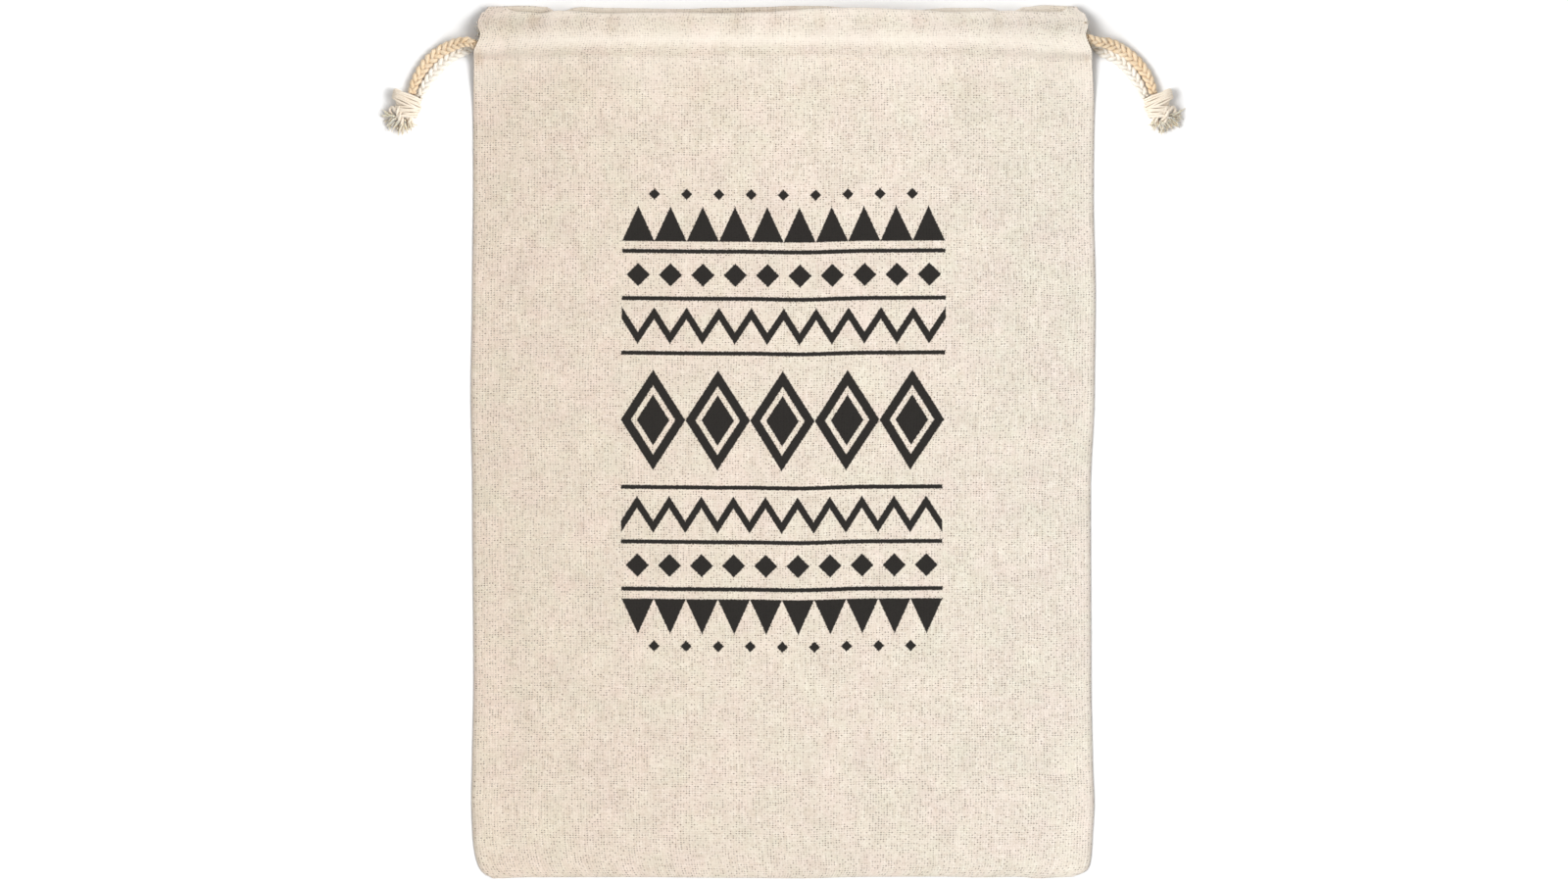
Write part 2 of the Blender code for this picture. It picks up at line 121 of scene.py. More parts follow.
# The casing's section: up from the stitching, tunnel height, setback of the turned-in layer, cords' dip
CASING_ROWS = (
    (0.0, 0.0, 0.0, 0.0), (1.2, 0.3, 0.8, 0.1), (3.2, 1.8, 1.0, 0.6), (5.2, 4.25, 1.0, 1.0),
    (7.2, TUNNEL, 1.0, 1.0), (10.4, TUNNEL, 1.0, 1.0), (13.6, TUNNEL, 1.0, 1.0), (15.4, 4.1, 1.0, 1.0),
    (17.6, 1.9, 0.8, 0.6), (20.6, 0.5, 0.4, 0.1), (CASING_DEPTH, 0.0, 0.0, 0.0),
)
CASING_LAST = 20.6

# The front's outer layer lies slacker towards the mouth than its solid: up from the stitching, tunnel height
SLACK_ROOF = (
    (0.0, 0.0), (1.2, 0.45), (3.2, 1.75), (5.2, 3.15), (7.0, 4.2), (9.2, 4.8), (12.0, 4.6), (15.4, 3.8),
    (17.6, 3.15), (20.6, 2.1), (CASING_DEPTH, 1.2),
)

# Creases where the cloth is drawn up over the cords: across, up, half width and length, height
MOUTH_CREASES = (
    (-120.5, 414.0, 3.2, 6.5, -0.75), (-112.0, 415.0, 4.0, 5.0, 0.45), (-83.5, 413.5, 3.0, 6.0, -0.7),
    (-71.0, 414.0, 5.0, 5.0, 0.35), (-46.5, 414.0, 3.6, 6.0, -0.55), (-23.0, 413.0, 3.4, 7.0, -0.75),
    (-12.0, 414.0, 4.0, 5.0, 0.4), (-4.0, 414.5, 3.0, 5.0, -0.45), (18.0, 414.0, 3.4, 6.5, -0.75),
    (29.0, 414.0, 4.5, 5.0, 0.4), (42.0, 414.0, 4.0, 6.0, -0.5), (66.0, 413.0, 3.6, 6.0, -0.55),
    (88.0, 414.0, 4.0, 6.0, -0.5), (104.0, 413.5, 3.2, 6.5, -0.65), (121.0, 414.0, 3.0, 6.0, -0.7),
    (-133.0, 410.0, 5.0, 9.0, -0.6), (133.0, 410.0, 5.0, 9.0, -0.6), (-141.0, 417.0, 5.0, 3.5, 0.5),
    (141.0, 417.0, 5.0, 3.5, 0.5), (-139.0, 395.5, 9.0, 4.5, -0.5), (139.0, 395.5, 9.0, 4.5, -0.5),
    (-96.0, 388.0, 14.0, 10.0, -0.4), (-38.0, 386.0, 16.0, 12.0, -0.35), (30.0, 388.0, 15.0, 10.0, -0.35),
    (92.0, 387.0, 14.0, 11.0, -0.4), (-64.0, 384.0, 10.0, 16.0, 0.35), (62.0, 384.0, 10.0, 16.0, 0.35),
)

# The front's edge rolls down over the back's: how far, how sharply, and how far the back's is tucked in
RIM_DROP = 1.38
RIM_ROUND = 0.75
RIM_TUCK = 0.9

# How much paler (above 0, a painted highlight) or darker (painted shade) the cloth is painted along the
# casing,
# for the light on its ridge and slopes: up from the stitching, painted light
CASING_PAINTED_LIGHT = (
    (-16.0, 0.0), (-12.0, 0.05), (-6.0, 0.2), (0.2, 0.3), (3.0, 0.0), (5.4, 0.2), (7.2, 0.55), (9.4, 0.8),
    (11.6, 0.55), (14.4, 0.3), (16.8, 0.2), (19.0, 0.15), (21.5, 0.5), (26.0, 0.6),
)

# Painted highlights (paler) and painted shade (browner) near the casing's ends: across, up, half width, half
# length, painted light
CORNER_PAINTED_LIGHT = (
    (-81.5, 409.0, 1.6, 4.0, -0.35), (-120.0, 415.5, 3.0, 3.0, -0.4),
    *((side * x, *row) for side in (-1.0, 1.0) for x, *row in (
        (143.0, 388.0, 7.0, 13.0, 0.4), (147.0, 397.0, 2.2, 4.0, -0.9), (141.5, 416.0, 3.5, 3.5, -0.5),
        (132.0, 398.5, 24.0, 2.6, 0.5))),
)

# Free ends of a cord, from the casing out to its knot: across (for the left side), y, z
FREE_FRONT = (
    (-152.5, 193.2, 9.1), (-158.0, 192.3, 5.9), (-163.8, 189.6, 3.4), (-169.8, 185.2, 2.55),
    (-175.0, 179.0, 2.55), (-178.2, 172.6, 2.9), (-179.2, 168.4, 3.6),
)
FREE_BACK = (
    (-154.2, 188.7, 3.0), (-161.0, 185.1, 2.55), (-166.8, 179.8, 2.55), (-172.2, 172.6, 2.7),
    (-175.4, 166.4, 3.6),
)

# The knot: centre, direction of its axis, and its wraps (offset, half width, half height, slant, shift)
KNOT_CENTRE = (-181.8, 162.6, 4.95)
KNOT_AXIS = (-0.25, -0.97)
KNOT_WRAPS = (
    (-4.1, 5.9, 2.75, -7.0, 0.8),
    (-1.4, 6.2, 2.9, -10.0, 0.4),
    (1.7, 5.0, 2.8, 12.0, -0.6),
    (4.3, 3.9, 2.4, 16.0, -1.2),
)
# The knot's packed middle: offsets along its axis, and its size there as a share of the wraps'
KNOT_CORE = ((-5.3, 0.8), (-4.7, 0.97), (-2.7, 1.0), (0.2, 1.0), (3.0, 1.0), (4.8, 0.95), (5.6, 0.7))
CORE_SIDES = 20
# The wraps are yarns side by side: how many, their radius, how far they spread, steps round, a tube's sides
WRAP_YARNS = 3
WRAP_YARN = 0.64
WRAP_SPREAD = 1.8
WRAP_STEPS = 40
YARN_SIDES = 9
# Added to a wrap's half width and half height, at its outer yarns and more at its middle one
WRAP_WIDER = (0.35, 0.6)
WRAP_HIGHER = (-0.4, 0.7)
# A small loop of yarn at the knot's outer side, as places across, along its axis and up
KNOT_LOOP = (
    (2.0, 5.2, 6.6), (4.6, 3.6, 6.4), (6.6, 2.6, 5.0), (7.2, 4.2, 4.0), (5.6, 6.0, 3.8), (3.2, 6.6, 4.4),
)
LOOP_YARN = 0.8
# The cord's two short tails before they fray: places like those, how far out the plies wind, a ply's radius
KNOT_TAILS = (
    (((3.4, 1.5, 6.2), (2.7, 4.2, 6.7), (1.5, 6.4, 5.6), (0.5, 8.2, 4.1), (0.1, 9.2, 3.2)), 0.9, 0.8),
    (((-2.0, 2.5, 5.6), (-2.5, 4.6, 5.1), (-3.0, 6.6, 3.9), (-3.2, 8.0, 2.9)), 0.85, 0.78),
)
TAIL_LAY = 11.0
# The tails' frayed tufts: yarns, root (across, along, up), fan in degrees, shortest and longest yarn, radius
TUFTS = (
    (30, (2.6, 6.2, 3.9), (16.0, 96.0), (4.6, 8.4), 0.46),
    (34, (0.0, 7.0, 3.6), (-38.0, 46.0), (4.4, 7.8), 0.46),
    (14, (-2.8, 6.6, 3.1), (-64.0, -8.0), (3.0, 5.8), 0.42),
)
# A frayed yarn's stations from root to tip, and its thickness at each as a share
FRAY_STATIONS = ((0.0, 1.0), (0.22, 1.0), (0.45, 0.95), (0.66, 0.85), (0.84, 0.7), (1.0, 0.35))

# Threads that stand off the casing's open ends: places up the bag with heights, then as for a tuft
LOOSE_AT = ((408.5, 9.4), (405.6, 9.8), (412.5, 8.4))
LOOSE_X = 146.0
LOOSE_COUNT = 7
LOOSE_FAN = (-70.0, 70.0)
LOOSE_REACH = (1.5, 3.6)
LOOSE_THICK = 0.22

# The cord: a flat plait of three strands, each of three twisted yarns
PLAIT_CYCLE = 10.5
PLAIT_WIDE = 1.68
PLAIT_HIGH = 0.62
STRAND_RADIUS = 1.12
STRAND_SIDES = 12
STRAND_LOBES = 0.13
YARN_LAY = 5.0
# It is pulled thin in the casing and at the knot, and full in the middle of a free end
PLAIT_THIN = 0.66
PLAIT_SWELL = 0.50
PLAIT_BOW = 0.8
# How far the pale strand moves against the tan one there
BACK_NEARER = 0.5
# How far past its turning point a cord leaves the casing, the spacing of a route's places, a knot's finer one
TURN_PAST = 7.0
ROUTE_STEP = 0.9
KNOT_STEP = 0.6
# How many of its fibres' waves go round a tube
TUBE_ROUND = 6.0


def ease(rows, at, column):
    """Values of a table's column at places between its rows, eased so that they have no kinks."""
    places = np.array([row[0] for row in rows])
    values = np.array([row[column] for row in rows])
    at = np.clip(at, places[0], places[-1])
    low = np.clip(np.searchsorted(places, at, side="right") - 1, 0, len(rows) - 2)
    part = (at - places[low]) / (places[low + 1] - places[low])
    part = part * part * (3.0 - 2.0 * part)
    return values[low] + (values[low + 1] - values[low]) * part


def straight(rows, at, column):
    """Values of a table's column at places between its rows, in straight lines."""
    return np.interp(at, [row[0] for row in rows], [row[column] for row in rows])


def linear_colour(code):
    """An sRGB hex colour as the linear values that a shader takes."""
    values = []
    for start in (0, 2, 4):
        part = int(code[start:start + 2], 16) / 255.0
        values.append(part / 12.92 if part <= 0.04045 else ((part + 0.055) / 1.055) ** 2.4)
    return (*values, 1.0)


def add(tree, kind, inputs=None, **settings):
    """A node of a kind with its settings; an input is a value, a socket, or a node with its first output."""
    node = tree.nodes.new(kind)
    for name, value in settings.items():
        setattr(node, name, value)
    for name, value in (inputs or {}).items():
        if isinstance(value, bpy.types.Node):
            value = value.outputs[0]
        if isinstance(value, bpy.types.NodeSocket):
            tree.links.new(value, node.inputs[name])
        else:
            node.inputs[name].default_value = value
    return node


def calc(tree, operation, *values, **settings):
    """A maths node on numbers, sockets or nodes."""
    return add(tree, "ShaderNodeMath", dict(enumerate(values)), operation=operation, **settings)


def noise(tree, vector, scale, detail, roughness=0.5):
    """A noise texture of a scale, detail and roughness."""
    return add(tree, "ShaderNodeTexNoise", {"Vector": vector, "Scale": scale, "Detail": detail,
                                            "Roughness": roughness})


def graded(tree, value, low, high, to_low=0.0, to_high=1.0):
    """A value stretched from one range to another, and held inside it."""
    return add(tree, "ShaderNodeMapRange", {"Value": value, "From Min": low, "From Max": high,
                                            "To Min": to_low, "To Max": to_high})


def blend(tree, share, low, high):
    """A colour that lies by a share between two, each a hex colour, a socket or a node."""
    low, high = (linear_colour(end) if isinstance(end, str) else end for end in (low, high))
    return add(tree, "ShaderNodeMix", {0: share, 6: low, 7: high}, data_type="RGBA").outputs[2]


def times(tree, colour, other):
    """A colour multiplied by another."""
    return add(tree, "ShaderNodeVectorMath", {0: colour, 1: other}, operation="MULTIPLY")


def empty_material(name):
    """A new material and its empty tree."""
    made = bpy.data.materials.new(name)
    made.use_nodes = True
    made.node_tree.nodes.clear()
    return made, made.node_tree


def placed(name, data):
    """An object of a mesh, camera or lamp, put in the scene."""
    made = bpy.data.objects.new(name, data)
    bpy.context.scene.collection.objects.link(made)
    return made


def mesh_piece(name, places, faces, uvs=None, painted_light=None):
    """A mesh object in the part's frame from places in millimetres, with its UVs in metres and its painted
    light.
    """
    data = bpy.data.meshes.new(name)
    data.from_pydata([tuple(place) for place in np.asarray(places) * MM], [], [tuple(face) for face in faces])
    if uvs is not None:
        layer = data.uv_layers.new(name="cloth")
        corners = np.zeros(len(data.loops), dtype=np.int32)
        data.loops.foreach_get("vertex_index", corners)
        layer.data.foreach_set("uv", (np.asarray(uvs)[corners] * MM).astype(np.float32).ravel())
    # Painted light per point: above 0 a painted highlight, below 0 painted shade
    if painted_light is not None:
        data.attributes.new("painted_light", "FLOAT", "POINT").data.foreach_set("value", np.asarray(painted_light, np.float32))
    data.shade_smooth()
    return placed(name, data)


def settle(piece):
    """Turns a piece with its modifiers into a plain mesh."""
    bpy.context.view_layer.update()
    graph = bpy.context.evaluated_depsgraph_get()
    data = bpy.data.meshes.new_from_object(piece.evaluated_get(graph), preserve_all_data_layers=True,
                                           depsgraph=graph)
    piece.modifiers.clear()
    old = piece.data
    piece.data = data
    if old.users == 0:
        bpy.data.meshes.remove(old)
    return piece


# The camera looks straight down from far off, as the photograph does; lengths in millimetres
FRAME_WIDTH = 758.4
CAMERA_HEIGHT = 6000.0
CAMERA_AT = (0.7, 0.3, CAMERA_HEIGHT + 4.0)
SENSOR = 36.0
camera_data = bpy.data.cameras.new("camera")
camera_data.sensor_width = SENSOR
camera_data.lens = SENSOR * CAMERA_HEIGHT / FRAME_WIDTH
camera_data.clip_start = 0.1
camera_data.clip_end = 60.0
camera = placed("camera", camera_data)
camera.location = tuple(at * MM for at in CAMERA_AT)
bpy.context.scene.camera = camera


def arch(x):
    """Share of the full loft at a place across the bag: 1 in the middle, 0 at the side seams."""
    return 1.0 - np.minimum(1.0, np.abs(x) / ARCH_HALF) ** ARCH_POWER


def lane_dip(x):
    """The cords run level and dip towards the bag's bottom near the ends of the casing."""
    part = np.maximum(0.0, np.abs(x) - (ARCH_HALF - DIP_REACH)) / DIP_REACH
    return np.where(x < 0.0, DIP_LEFT, DIP_RIGHT) * np.minimum(1.0, part) ** 2


def lane_point(x, lane, is_front):
    """Centre of a cord in its lane of the front or the back casing."""
    up = STITCH_UP + lane + float(lane_dip(np.float64(x)))
    height = CLOTH + CORD_CLEAR + CORD / 2.0
    if is_front:
        share = float(arch(np.float64(x)))
        height += (1.0 - share) * (RIDGE_TOP + GAP) + share * (RIDGE_TOP + MOUTH_GAP)
    return Vector((x, up - BAG_LENGTH / 2.0, height))


def spline_through(points, spacing):
    """Places on a Catmull-Rom curve through points, about a spacing apart, and each given point's index."""
    ends = [points[0] * 2.0 - points[1], *points, points[-1] * 2.0 - points[-2]]
    route = []
    marks = []
    for p0, p1, p2, p3 in zip(ends, ends[1:], ends[2:], ends[3:]):
        count = max(2, round((p2 - p1).length / spacing))
        marks.append(len(route))
        for step in range(count):
            t = step / count
            route.append(0.5 * (2.0 * p1 + (p2 - p0) * t + (2.0 * p0 - 5.0 * p1 + 4.0 * p2 - p3) * t * t
                                + (3.0 * p1 - p0 - 3.0 * p2 + p3) * t * t * t))
    marks.append(len(route))
    route.append(points[-1])
    return route, marks


def frames_along(route):
    """For each place of a route: the way along it and two steady directions across it."""
    ways = []
    for index in range(len(route)):
        before = route[max(0, index - 1)]
        after = route[min(len(route) - 1, index + 1)]
        ways.append((after - before).normalized())
    side = ways[0].cross(Vector((0.0, 0.0, 1.0)))
    if side.length < 0.2:
        side = ways[0].cross(Vector((0.0, 1.0, 0.0)))
    side.normalize()
    frames = []
    for way in ways:
        side = (side - way * side.dot(way)).normalized()
        frames.append((way, side, way.cross(side)))
    return frames


def lengths_along(route):
    """How far each place of a route is from its start."""
    far = [0.0]
    for before, after in zip(route, route[1:]):
        far.append(far[-1] + (after - before).length)
    return far


def ring_faces(rings, sides, capped=True):
    """Faces between rings of places that lie one after another, and over the first and the last ring."""
    faces = []
    for here in range(0, (rings - 1) * sides, sides):
        for turn in range(sides):
            after = (turn + 1) % sides
            faces.append((here + turn, here + after, here + sides + after, here + sides + turn))
    if capped:
        last = (rings - 1) * sides
        faces += [tuple(range(sides))[::-1], tuple(range(last, last + sides))]
    return faces


def tube(route, radii, sides, lobes=0.0, lay=YARN_LAY, capped=True, phase=0.0, start=0.0):
    """Places, faces and UVs of a tube along a route; with lobes its section is three twisted yarns."""
    frames = frames_along(route)
    far = lengths_along(route)
    places = []
    uvs = []
    for index, place in enumerate(route):
        way, side, up = frames[index]
        for turn in range(sides):
            angle = 2.0 * math.pi * turn / sides
            swell = 1.0 + lobes * math.cos(3.0 * (angle - 2.0 * math.pi * (far[index] + start) / lay - phase))
            offset = side * math.cos(angle) + up * math.sin(angle)
            places.append(place + offset * radii[index] * swell)
            uvs.append((TUBE_ROUND * turn / sides, far[index] + start))
    return places, ring_faces(len(route), sides, capped), uvs


def joined(parts):
    """Several tubes' places, faces and UVs as one mesh's."""
    places = []
    faces = []
    uvs = []
    for more_places, more_faces, more_uvs in parts:
        start = len(places)
        places += more_places
        faces += [tuple(start + corner for corner in face) for face in more_faces]
        uvs += more_uvs
    return places, faces, uvs


def drawstring(side, lane):
    """A whole cord's centreline, with the indexes at which it enters and leaves the casings."""
    count = int(2.0 * TURN_X / RUN_STEP)
    stops = [side * (TURN_X - 2.0 * TURN_X * step / count) for step in range(count + 1)]
    route = [Vector((-side * x, y, z)) for x, y, z in reversed(FREE_FRONT)]
    enter = len(route)
    route.append(lane_point(side * (TURN_X + TURN_PAST), lane, True))
    route += [lane_point(x, lane, True) for x in stops]
    high = route[-1]
    low = lane_point(-side * TURN_X, lane, False)
    radius = (high.z - low.z) / 2.0
    for angle in (45.0, 90.0, 135.0):
        turn = math.radians(angle)
        route.append(Vector((high.x - side * radius * math.sin(turn), high.y,
                             low.z + radius * (1.0 + math.cos(turn)))))
    route += [lane_point(x, lane, False) for x in reversed(stops)]
    leave = len(route)
    route.append(lane_point(side * (TURN_X + TURN_PAST), lane, False))
    route += [Vector((-side * x, y, z)) for x, y, z in FREE_BACK]
    places, marks = spline_through(route, ROUTE_STEP)
    return places, marks[enter], marks[leave]


def plaited(route, enter, leave, first, last, nearer=(0.0, 0.0)):
    """A flat plait of three strands along a stretch of a cord's route.

    It is full in the free ends and pulled thin elsewhere. Towards the middle of a free end it lies nearer to
    the cord's other strand by the given amount.
    """
    frames = frames_along(route)
    far = lengths_along(route)
    whole = far[-1]
    fullness = []
    shifts = []
    for place in far:
        share = place / far[enter] if place < far[enter] else (whole - place) / (whole - far[leave])
        bow = math.sin(math.pi * min(1.0, max(0.0, share)))
        fullness.append(PLAIT_THIN + PLAIT_SWELL * bow ** PLAIT_BOW)
        shifts.append(Vector((nearer[0] * bow, nearer[1] * bow, 0.0)))
    parts = []
    for strand in range(3):
        line = []
        for index, place in enumerate(route):
            way, across_way, up = frames[index]
            beat = 2.0 * math.pi * (far[index] / PLAIT_CYCLE + strand / 3.0)
            wide = fullness[index] * (1.0 + 0.06 * math.sin(far[index] * 0.83 + strand * 2.0))
            line.append(place + shifts[index] + across_way * math.cos(beat) * PLAIT_WIDE * wide
                        + up * math.sin(2.0 * beat) * PLAIT_HIGH)
        radii = [STRAND_RADIUS * (0.55 + 0.45 * fullness[index])
                 * (1.0 + 0.05 * math.sin(far[index] * 1.7 + strand)) for index in range(first, last + 1)]
        parts.append(tube(line[first:last + 1], radii, STRAND_SIDES, lobes=STRAND_LOBES, phase=strand * 2.0,
                          start=far[first]))
    return joined(parts)


# The cords come first: a free strand out of the front casing, one out of the back, and the run inside
cords = {}
for side, word, lane in ((-1.0, "left", LANE_LOW), (1.0, "right", LANE_HIGH)):
    whole, enter, leave = drawstring(side, lane)
    cords[word] = {
        "side": side,
        "front": mesh_piece(f"cord_{word}_front", *plaited(whole, enter, leave, 0, enter)),
        "back": mesh_piece(f"cord_{word}_back", *plaited(whole, enter, leave, leave, len(whole) - 1,
                                                        (side * BACK_NEARER, BACK_NEARER))),
        "held": mesh_piece(f"cord_{word}_in_casing", *plaited(whole, enter, leave, enter, leave)),
        "front_path": whole[:enter + 1][::-1],
        "back_path": whole[leave:],
    }


def ring_route(centre, across_way, axis, half_width, half_height, offset, slip):
    """A yarn's route round the knot: an upright ellipse that begins underneath and slants along the axis."""
    route = []
    for step in range(WRAP_STEPS + 1):
        angle = 2.0 * math.pi * step / WRAP_STEPS - math.pi / 2.0
        wobble = 0.22 * math.sin(angle * 2.0 + slip) + 0.15 * math.sin(angle * 3.0 + 2.0 * slip)
        route.append(centre + across_way * math.cos(angle) * half_width
                     + Vector((0.0, 0.0, math.sin(angle) * half_height)) + axis * (offset + wobble))
    return route


def knot(side):
    """The overhand knot: yarns side by side in slanted wraps, a small loop and the cord's two short tails."""
    centre = Vector((-side * KNOT_CENTRE[0], KNOT_CENTRE[1], KNOT_CENTRE[2]))
    axis = Vector((-side * KNOT_AXIS[0], KNOT_AXIS[1], 0.0)).normalized()
    across_way = Vector((0.0, 0.0, 1.0)).cross(axis) * side

    def route_through(places):
        points = [centre + across_way * u + axis * a + Vector((0.0, 0.0, z - centre.z)) for u, a, z in places]
        return spline_through(points, KNOT_STEP)[0]

    parts = []
    for wrap, (offset, half_width, half_height, slant, shift) in enumerate(KNOT_WRAPS):
        turn = math.radians(slant)
        way = across_way * math.cos(turn) + axis * math.sin(turn)
        place = centre + axis * offset + across_way * shift
        for yarn in range(WRAP_YARNS):
            share = yarn / (WRAP_YARNS - 1.0) - 0.5
            swell = 1.0 - 0.9 * share * share
            route = ring_route(place, way, axis, half_width + WRAP_WIDER[0] + WRAP_WIDER[1] * swell,
                               half_height + WRAP_HIGHER[0] + WRAP_HIGHER[1] * swell,
                               share * WRAP_SPREAD, 1.9 * yarn + 1.3 * wrap)
            parts.append(tube(route, [WRAP_YARN] * len(route), YARN_SIDES, lobes=0.10, lay=3.4, capped=False,
                              phase=yarn + wrap))
    route = route_through(KNOT_LOOP)
    parts.append(tube(route, [LOOP_YARN] * len(route), YARN_SIDES, lobes=0.12, lay=4.0))
    for tail, wound, radius in KNOT_TAILS:
        route = route_through(tail)
        frames = frames_along(route)
        far = lengths_along(route)
        for ply in range(3):
            line = []
            for index, place in enumerate(route):
                _, beside, up = frames[index]
                turn = 2.0 * math.pi * (far[index] / TAIL_LAY + ply / 3.0)
                line.append(place + (beside * math.cos(turn) + up * math.sin(turn)) * wound)
            parts.append(tube(line, [radius] * len(line), YARN_SIDES, lobes=0.12, lay=4.5, phase=ply))
    return parts, centre, axis, across_way


def knot_core(centre, axis, across_way):
    """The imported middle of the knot, which fills its wraps and shows as dark gaps between them."""
    offsets = [wrap[0] for wrap in KNOT_WRAPS]
    places = []
    for offset, share in KNOT_CORE:
        half_width, half_height, shift = (
            share * float(np.interp(offset, offsets, [wrap[column] for wrap in KNOT_WRAPS]))
            for column in (1, 2, 4))
        for turn in range(CORE_SIDES):
            angle = 2.0 * math.pi * turn / CORE_SIDES
            places.append(centre + axis * offset + across_way * (shift + math.cos(angle) * half_width)
                          + Vector((0.0, 0.0, math.sin(angle) * half_height)))
    faces = ring_faces(len(KNOT_CORE), CORE_SIDES)
    if Vector((0.0, 0.0, 1.0)).cross(axis).dot(across_way) < 0.0:
        faces = [face[::-1] for face in faces]
    return places, faces, [(0.0, 0.0)] * len(places)


def frayed(seed, centre, axis, across_way, count, roots, fan, reach, thick):
    """Frayed yarns that fan out from a root: thin tapering tubes that curl down to the surface below."""
    chance = np.random.default_rng(seed)
    parts = []
    for strand in range(count):
        share = (strand + chance.uniform(0.1, 0.9)) / count
        degrees = fan[0] + (fan[1] - fan[0]) * share
        turn = math.radians(degrees)
        way = axis * math.cos(turn) + across_way * math.sin(turn)
        beside = Vector((-way.y, way.x, 0.0))
        root = (centre + across_way * (roots[0] + chance.uniform(-1.2, 1.2))
                + axis * (roots[1] + chance.uniform(-0.6, 0.6)))
        root.z = roots[2] + chance.uniform(-1.0, 1.0)
        length = chance.uniform(*reach)
        rise = chance.uniform(0.2, 2.4)
        curl = chance.uniform(-0.36, 0.36) * length
        end = chance.uniform(0.6, 3.4)
        places = []
        for part, _ in FRAY_STATIONS:
            height = root.z + rise * math.sin(math.pi * min(1.0, part * 1.4)) * (1.0 - part)
            height += (end - root.z) * part * part
            places.append(root + way * length * part + beside * curl * part * part
                          + Vector((0.0, 0.0, max(thick, height) - root.z)))
        parts.append(tube(places, [thick * thin for _, thin in FRAY_STATIONS], 4))
    return parts


for word, seed in (("left", 11), ("right", 23)):
    parts, *about = knot(cords[word]["side"])
    cords[word]["knot"] = mesh_piece(f"knot_{word}_wraps", *joined(parts + [knot_core(*about)]))
    tufts = []
    for order, tuft in enumerate(TUFTS):
        tufts += frayed(seed + order, *about, *tuft)
    cords[word]["tuft"] = mesh_piece(f"knot_{word}_frayed_ends", *joined(tufts))


# The cloth's grid: stations close together at its rolled edges, then even ones across, up body and casing
BAG_WIDTH = 300.0
EDGE_STATIONS = (0.0, 0.3, 0.65, 1.05, 1.5, 2.1, 2.9, 4.0, 5.4)
EVEN_FROM = 7.2
COLUMN_STEPS = 114
BODY_STEPS = 170
HEM_STATIONS = (-2.5, -1.25, 0.0)
CASING_STEPS = 26
CASING_FIRST = 0.8
FOLD_STEPS = 7
FOLD_TURN = 70.0
BODY_END = BODY_STEPS + len(HEM_STATIONS)
COLUMNS = np.concatenate([np.array(EDGE_STATIONS) / BAG_WIDTH,
                          np.linspace(EVEN_FROM, BAG_WIDTH - EVEN_FROM, COLUMN_STEPS) / BAG_WIDTH,
                          1.0 - np.array(EDGE_STATIONS)[::-1] / BAG_WIDTH])
# How much narrower the thin sheet is than its solid at the left and the right
EDGE_IN = (0.7, 0.4)
# Rounds of softening, and unevenness of the slack front, the inside and the inside's painted light: amount,
# size, seed
RELAX_ROUNDS = 6
FRONT_RIPPLES = ((0.22, 62.0, 5), (0.10, 21.0, 8))
INSIDE_RIPPLE = (0.18, 24.0, 3)
# Over what length the front's slackness, its rolled rim and the back's tucked edges fade
SLACK_FADE = 14.0
RIM_FADE = 30.0
TUCK_FADE = 3.0
# The casing's painted light weakens near the seams, and a painted highlight lies along the right seam: share,
# how far in, how far across. Creases get painted shade and highlight, and the mouth's inside is painted paler
# over its shade,
# unevenly: base, change, size, seed
SEAM_PAINT_FADE = (0.6, 12.0)
RIGHT_PAINTED_HIGHLIGHT = (0.32, 7.0, 60.0)
CREASE_PAINTED_LIGHT = 0.55
INSIDE_PAINTED_LIGHT = (0.5, 0.45, 90.0, 6)


def across(up, share, setback):
    """Place across the bag of a column at a height up the bag, and its inset from the nearer edge."""
    left = ease(SIDE_EDGES, up, 1) + EDGE_IN[0]
    right = ease(SIDE_EDGES, up, 2) - EDGE_IN[1]
    left = left + (-HEM_SETBACK - left) * setback
    right = right + (HEM_SETBACK - right) * setback
    x = left + (right - left) * share
    return x, np.minimum(x - left, right - x)


def lean(slope):
    """Upright thickness of a layer of the solid cloth that lies at a slope."""
    return CLOTH * np.sqrt(1.0 + slope * slope)


def casing_slope(above):
    """Slope of the casing's roof at a height above the stitching."""
    return (straight(CASING_ROWS, above + 1.0, 1) - straight(CASING_ROWS, above - 1.0, 1)) / 2.0


def spots(rows, x, up):
    """Sum of soft oval spots: each row gives place across, up, half width, half length and height."""
    total = 0.0
    for middle, along, half_width, half_length, height in rows:
        total = total + height * np.exp(-((x - middle) / half_width) ** 2 - ((up - along) / half_length) ** 2)
    return total


def body_middle(x, up, inset):
    """Middle of the front's single layer of cloth over the body."""
    share = arch(x)
    climb = np.clip((up - (HEM_EDGE_UP - SEAM_CLIMB)) / SEAM_CLIMB, 0.0, 1.0)
    climb = climb * climb * (3.0 - 2.0 * climb)
    height = 1.5 * CLOTH + GAP + 2.0 * CLOTH * climb + ease(BODY_LOFT, up, 1) * share
    height = height + SEAM_ROLL * (1.0 - np.exp(-inset / 2.5)) * np.minimum(1.0, up / 7.3) * (1.0 - climb)
    loose = share * np.minimum(1.0, up / BOTTOM_FADE) * (1.0 - climb)
    return height + spots(FRONT_FOLDS, x, up) * loose


